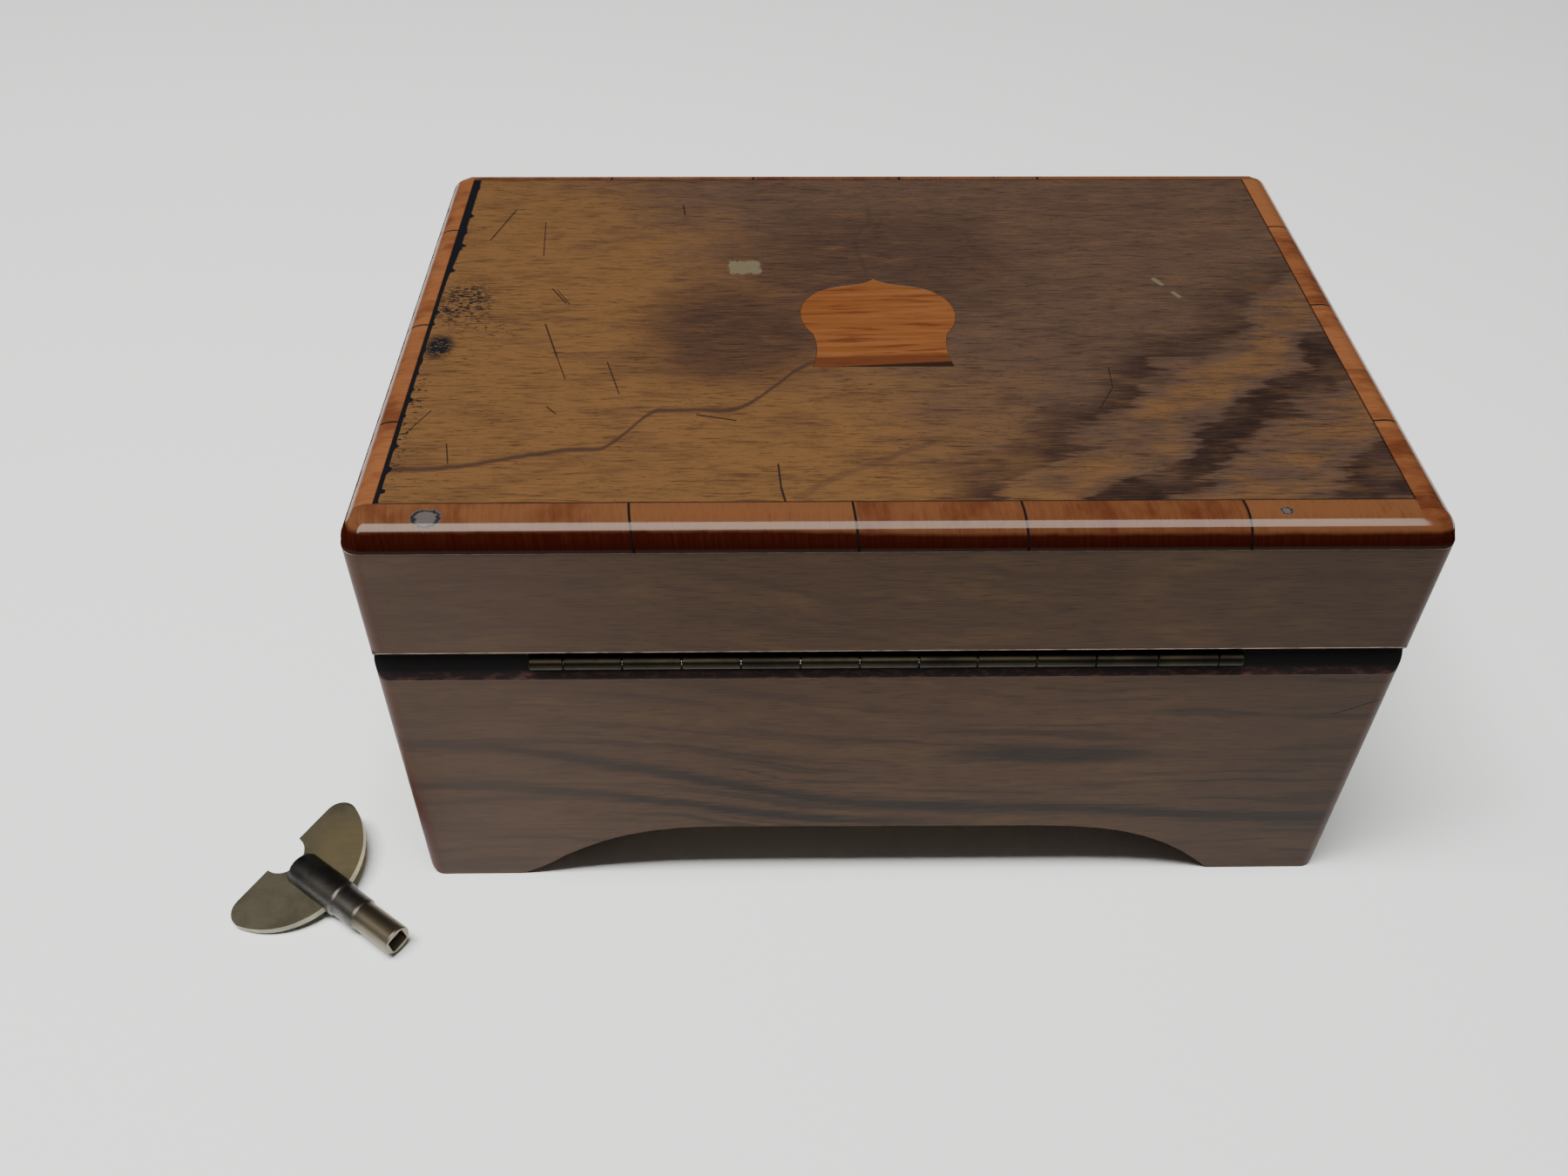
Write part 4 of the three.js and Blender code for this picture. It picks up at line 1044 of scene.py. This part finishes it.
def makeKey():
    half = key["wingThickness"] / 2
    wing = outlineSolid("keyWings", wingOutline(), -half, half, 6)
    easeSharpEdges(wing, 0.4, 3, 38)
    moveTo(wing, keyPlace)
    smooth(wing, 30)
    hand(wing, "key", "aged_brass", [finish["keyWing"]], "key_wings")
    # the barrel: a domed back, three diameters that step down and a square socket
    profile = [
        (1.9, 0.9),
        (2.7, 1.05),
        (3.2, 1.45),
        (3.45, 2.1),
        (3.45, 13.0),
        (3.2, 13.3),
        (3.12, 13.6),
        (3.12, 18.5),
        (2.9, 18.9),
        (2.8, 19.2),
        (2.8, 27.8),
        (2.6, 28.1),
    ]
    barrel = turned("keyBarrel", profile, 64)
    inner = key["square"] / 2
    origin = Vector((0, 0, 0))
    socketLow = (-inner, -inner, key["length"] - key["socketDepth"])
    socket = block("socket", socketLow, (inner, inner, key["socketReach"]), origin)
    applyModifier(socket, "BEVEL", width=0.5 * mm, segments=4)
    cutWith(barrel, socket)
    reach = key["wingRadius"] + key["wingCentre"]
    sawHalf = half + 0.02
    saw = block("saw", (-sawHalf, -6, -1), (sawHalf, 6, reach + 0.05), origin)
    cutWith(barrel, saw)
    easeSharpEdges(barrel, 0.1, 2, 60)
    moveTo(barrel, keyPlace @ alongX)
    smooth(barrel, 30)
    hand(barrel, "key", "aged_brass", [finish["keyBarrel"]], "key_shank")


makeKey()
print("key made")


# the cylinder's brass sleeve and its pins, one row to each tooth of the comb
pins = {
    "seed": 7,
    "count": 620,
    "height": 0.85,
    "radius": 0.17,
    "taper": 0.7,
    "sink": 0.2,
    "rows": 40,
    "sides": 6,
}


def makeCylinder():
    low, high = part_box("cylinder_sleeve")
    axisY, axisZ = (low.y + high.y) / 2, (low.z + high.z) / 2
    radius = (high.z - low.z) / 2 / mm
    span = (high.x - low.x) / mm
    wall = 1
    profile = [
        (2.1, 0),
        (radius - 0.2, 0),
        (radius, 0.2),
        (radius, span - 0.2),
        (radius - 0.2, span),
        (radius - wall, span),
        (radius - wall, 1.5),
        (2.1, 1.5),
    ]
    sleeve = turned("cylinderSleeve", profile, 128)
    place = Matrix.Translation((low.x, axisY, axisZ)) @ alongX
    moveTo(sleeve, place)
    smooth(sleeve, 30)
    hand(sleeve, "cylinder", "brass", [finish["brass"]], "cylinder_sleeve")
    combLow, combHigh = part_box("comb")
    pitch = (combHigh.x - combLow.x) / pins["rows"]
    foot = (pins["radius"], radius - pins["sink"])
    tip = (pins["radius"] * pins["taper"], radius + pins["height"])
    base = turned("pin", [foot, tip], pins["sides"])
    draw = random.Random(pins["seed"])
    copies = []
    for _ in range(pins["count"]):
        row = draw.randrange(pins["rows"])
        angle = draw.uniform(0, 2 * math.pi)
        pin = bpy.data.objects.new("pin", base.data.copy())
        bpy.context.collection.objects.link(pin)
        x = combLow.x + (row + 0.5) * pitch
        around = Matrix.Translation((x, axisY, axisZ)) @ Matrix.Rotation(angle, 4, "X")
        pin.data.transform(around)
        copies.append(pin)
    bpy.data.objects.remove(base, do_unlink=True)
    field = joinPieces("cylinderPins", copies)
    hand(field, "cylinder", "steel", [finish["steel"]])


makeCylinder()
print("cylinder made")


# the movement and the other pieces keep their outline, with edges eased and rounds smoothed
easedPieces = {
    # node: (finish, slot, edge width)
    "bottom_board": ("whitewood", "whitewood", 0.3),
    "glass_rest_right": ("wall", "walnut_veneer", 0.3),
    "glass_rest_left": ("wall", "walnut_veneer", 0.3),
    "inner_glass": ("glass", "clear_glass", 0.3),
}


def makeEased():
    known = {"brass": "brass", "aged_brass": "shadedHingeBrass", "steel": "steel", "blued_steel": "bluedSteel"}
    for node, source in frame["nodes"].items():
        if source.hide_render:
            continue
        if node in easedPieces:
            look, slotName, width = easedPieces[node]
        else:
            slotName = nodeSlots[node]
            look, width = known[slotName], 0.12
        piece = copyOf(node, node + "Eased")
        easeSharpEdges(piece, width, 2, 38)
        smooth(piece, 36)
        hand(piece, nodeBody[node], slotName, [finish[look]], node)


bodies = frame["record"]["behaviour"]["bodies"]
nodeBody = {node: body for body, members in bodies.items() for node in members}
nodeSlots = {part["node"]: part["material_slot"] for part in frame["record"]["subparts"]}
makeEased()
print("movement made")


studio = {
    "floor": (0.78, 0.785, 0.77),
    "world": 0.04,
    "focal": 31.62,
    "cameraPlace": (21.33, 214.45, 223.31),
    "pitch": 0.7566,
    "yaw": 0.02106,
    "roll": 0.0088,
}


# the overhead light makes the soft shadows, and the softbox only shows in polish and metal
studioLights = {
    "overhead": {
        "height": 82,
        "away": 1.2,
        "side": 0.25,
        "size": (0.9, 0.3),
        "power": 38.5,
        "warmth": 1,
        "glossy": False,
    },
    "softbox": {
        "height": 60,
        "away": 1.2,
        "side": 0.1,
        "size": (1.6, 0.6),
        "power": 20,
        "warmth": 0.92,
        "glossy": True,
    },
}


def makeFloor():
    bpy.ops.object.select_all(action="DESELECT")
    bpy.ops.mesh.primitive_plane_add(size=6, location=(caseCentre.x, caseCentre.y, 0))
    floor = newPiece("floor")
    material = bpy.data.materials.new("paleFloor")
    material.use_nodes = True
    shader = material.node_tree.nodes["Principled BSDF"]
    shader.inputs["Base Color"].default_value = (*studio["floor"], 1)
    shader.inputs["Roughness"].default_value = 0.6
    floor.data.materials.append(material)


def areaLight(name, place, target, size, power, warmth):
    bpy.ops.object.select_all(action="DESELECT")
    bpy.ops.object.light_add(type="AREA", location=place)
    light = bpy.context.object
    light.name = name
    light.data.shape = "RECTANGLE"
    light.data.size, light.data.size_y = size
    light.data.energy = power
    light.data.color = (1, warmth, warmth * warmth)
    light.rotation_mode = "QUATERNION"
    back = (Vector(place) - Vector(target)).normalized()
    across = Vector((0, 1, 0)).cross(back).normalized()
    light.rotation_quaternion = Matrix((across, back.cross(across), back)).transposed().to_quaternion()
    return light


def makeLights():
    world = bpy.data.worlds.new("studio")
    world.use_nodes = True
    world.node_tree.nodes["Background"].inputs["Color"].default_value = (1, 1, 1, 1)
    world.node_tree.nodes["Background"].inputs["Strength"].default_value = studio["world"]
    bpy.context.scene.world = world
    middle = fromCase(0, 0, 40)
    for name, look in studioLights.items():
        height = math.radians(look["height"])
        away = Vector((0, math.cos(height), math.sin(height))) * look["away"]
        away.x = look["side"]
        light = areaLight(name, middle + away, middle, look["size"], look["power"], look["warmth"])
        light.visible_glossy = look["glossy"]
        light.visible_diffuse = not look["glossy"]


def makeCamera():
    pitch, yaw, roll = studio["pitch"], studio["yaw"], studio["roll"]
    forward = Vector((-math.sin(yaw) * math.cos(pitch), -math.cos(yaw) * math.cos(pitch), -math.sin(pitch)))
    level = Vector((-math.cos(yaw), math.sin(yaw), 0))
    upright = level.cross(forward)
    right = math.cos(roll) * level + math.sin(roll) * upright
    up = -math.sin(roll) * level + math.cos(roll) * upright
    bpy.ops.object.camera_add(location=fromCase(*studio["cameraPlace"]))
    camera = bpy.context.object
    camera.data.lens = studio["focal"]
    camera.data.sensor_width = 36
    camera.rotation_mode = "QUATERNION"
    camera.rotation_quaternion = Matrix((right, up, -forward)).transposed().to_quaternion()
    camera.data.clip_start = 0.01
    bpy.context.scene.camera = camera


makeFloor()
makeLights()
makeCamera()
print("studio made")
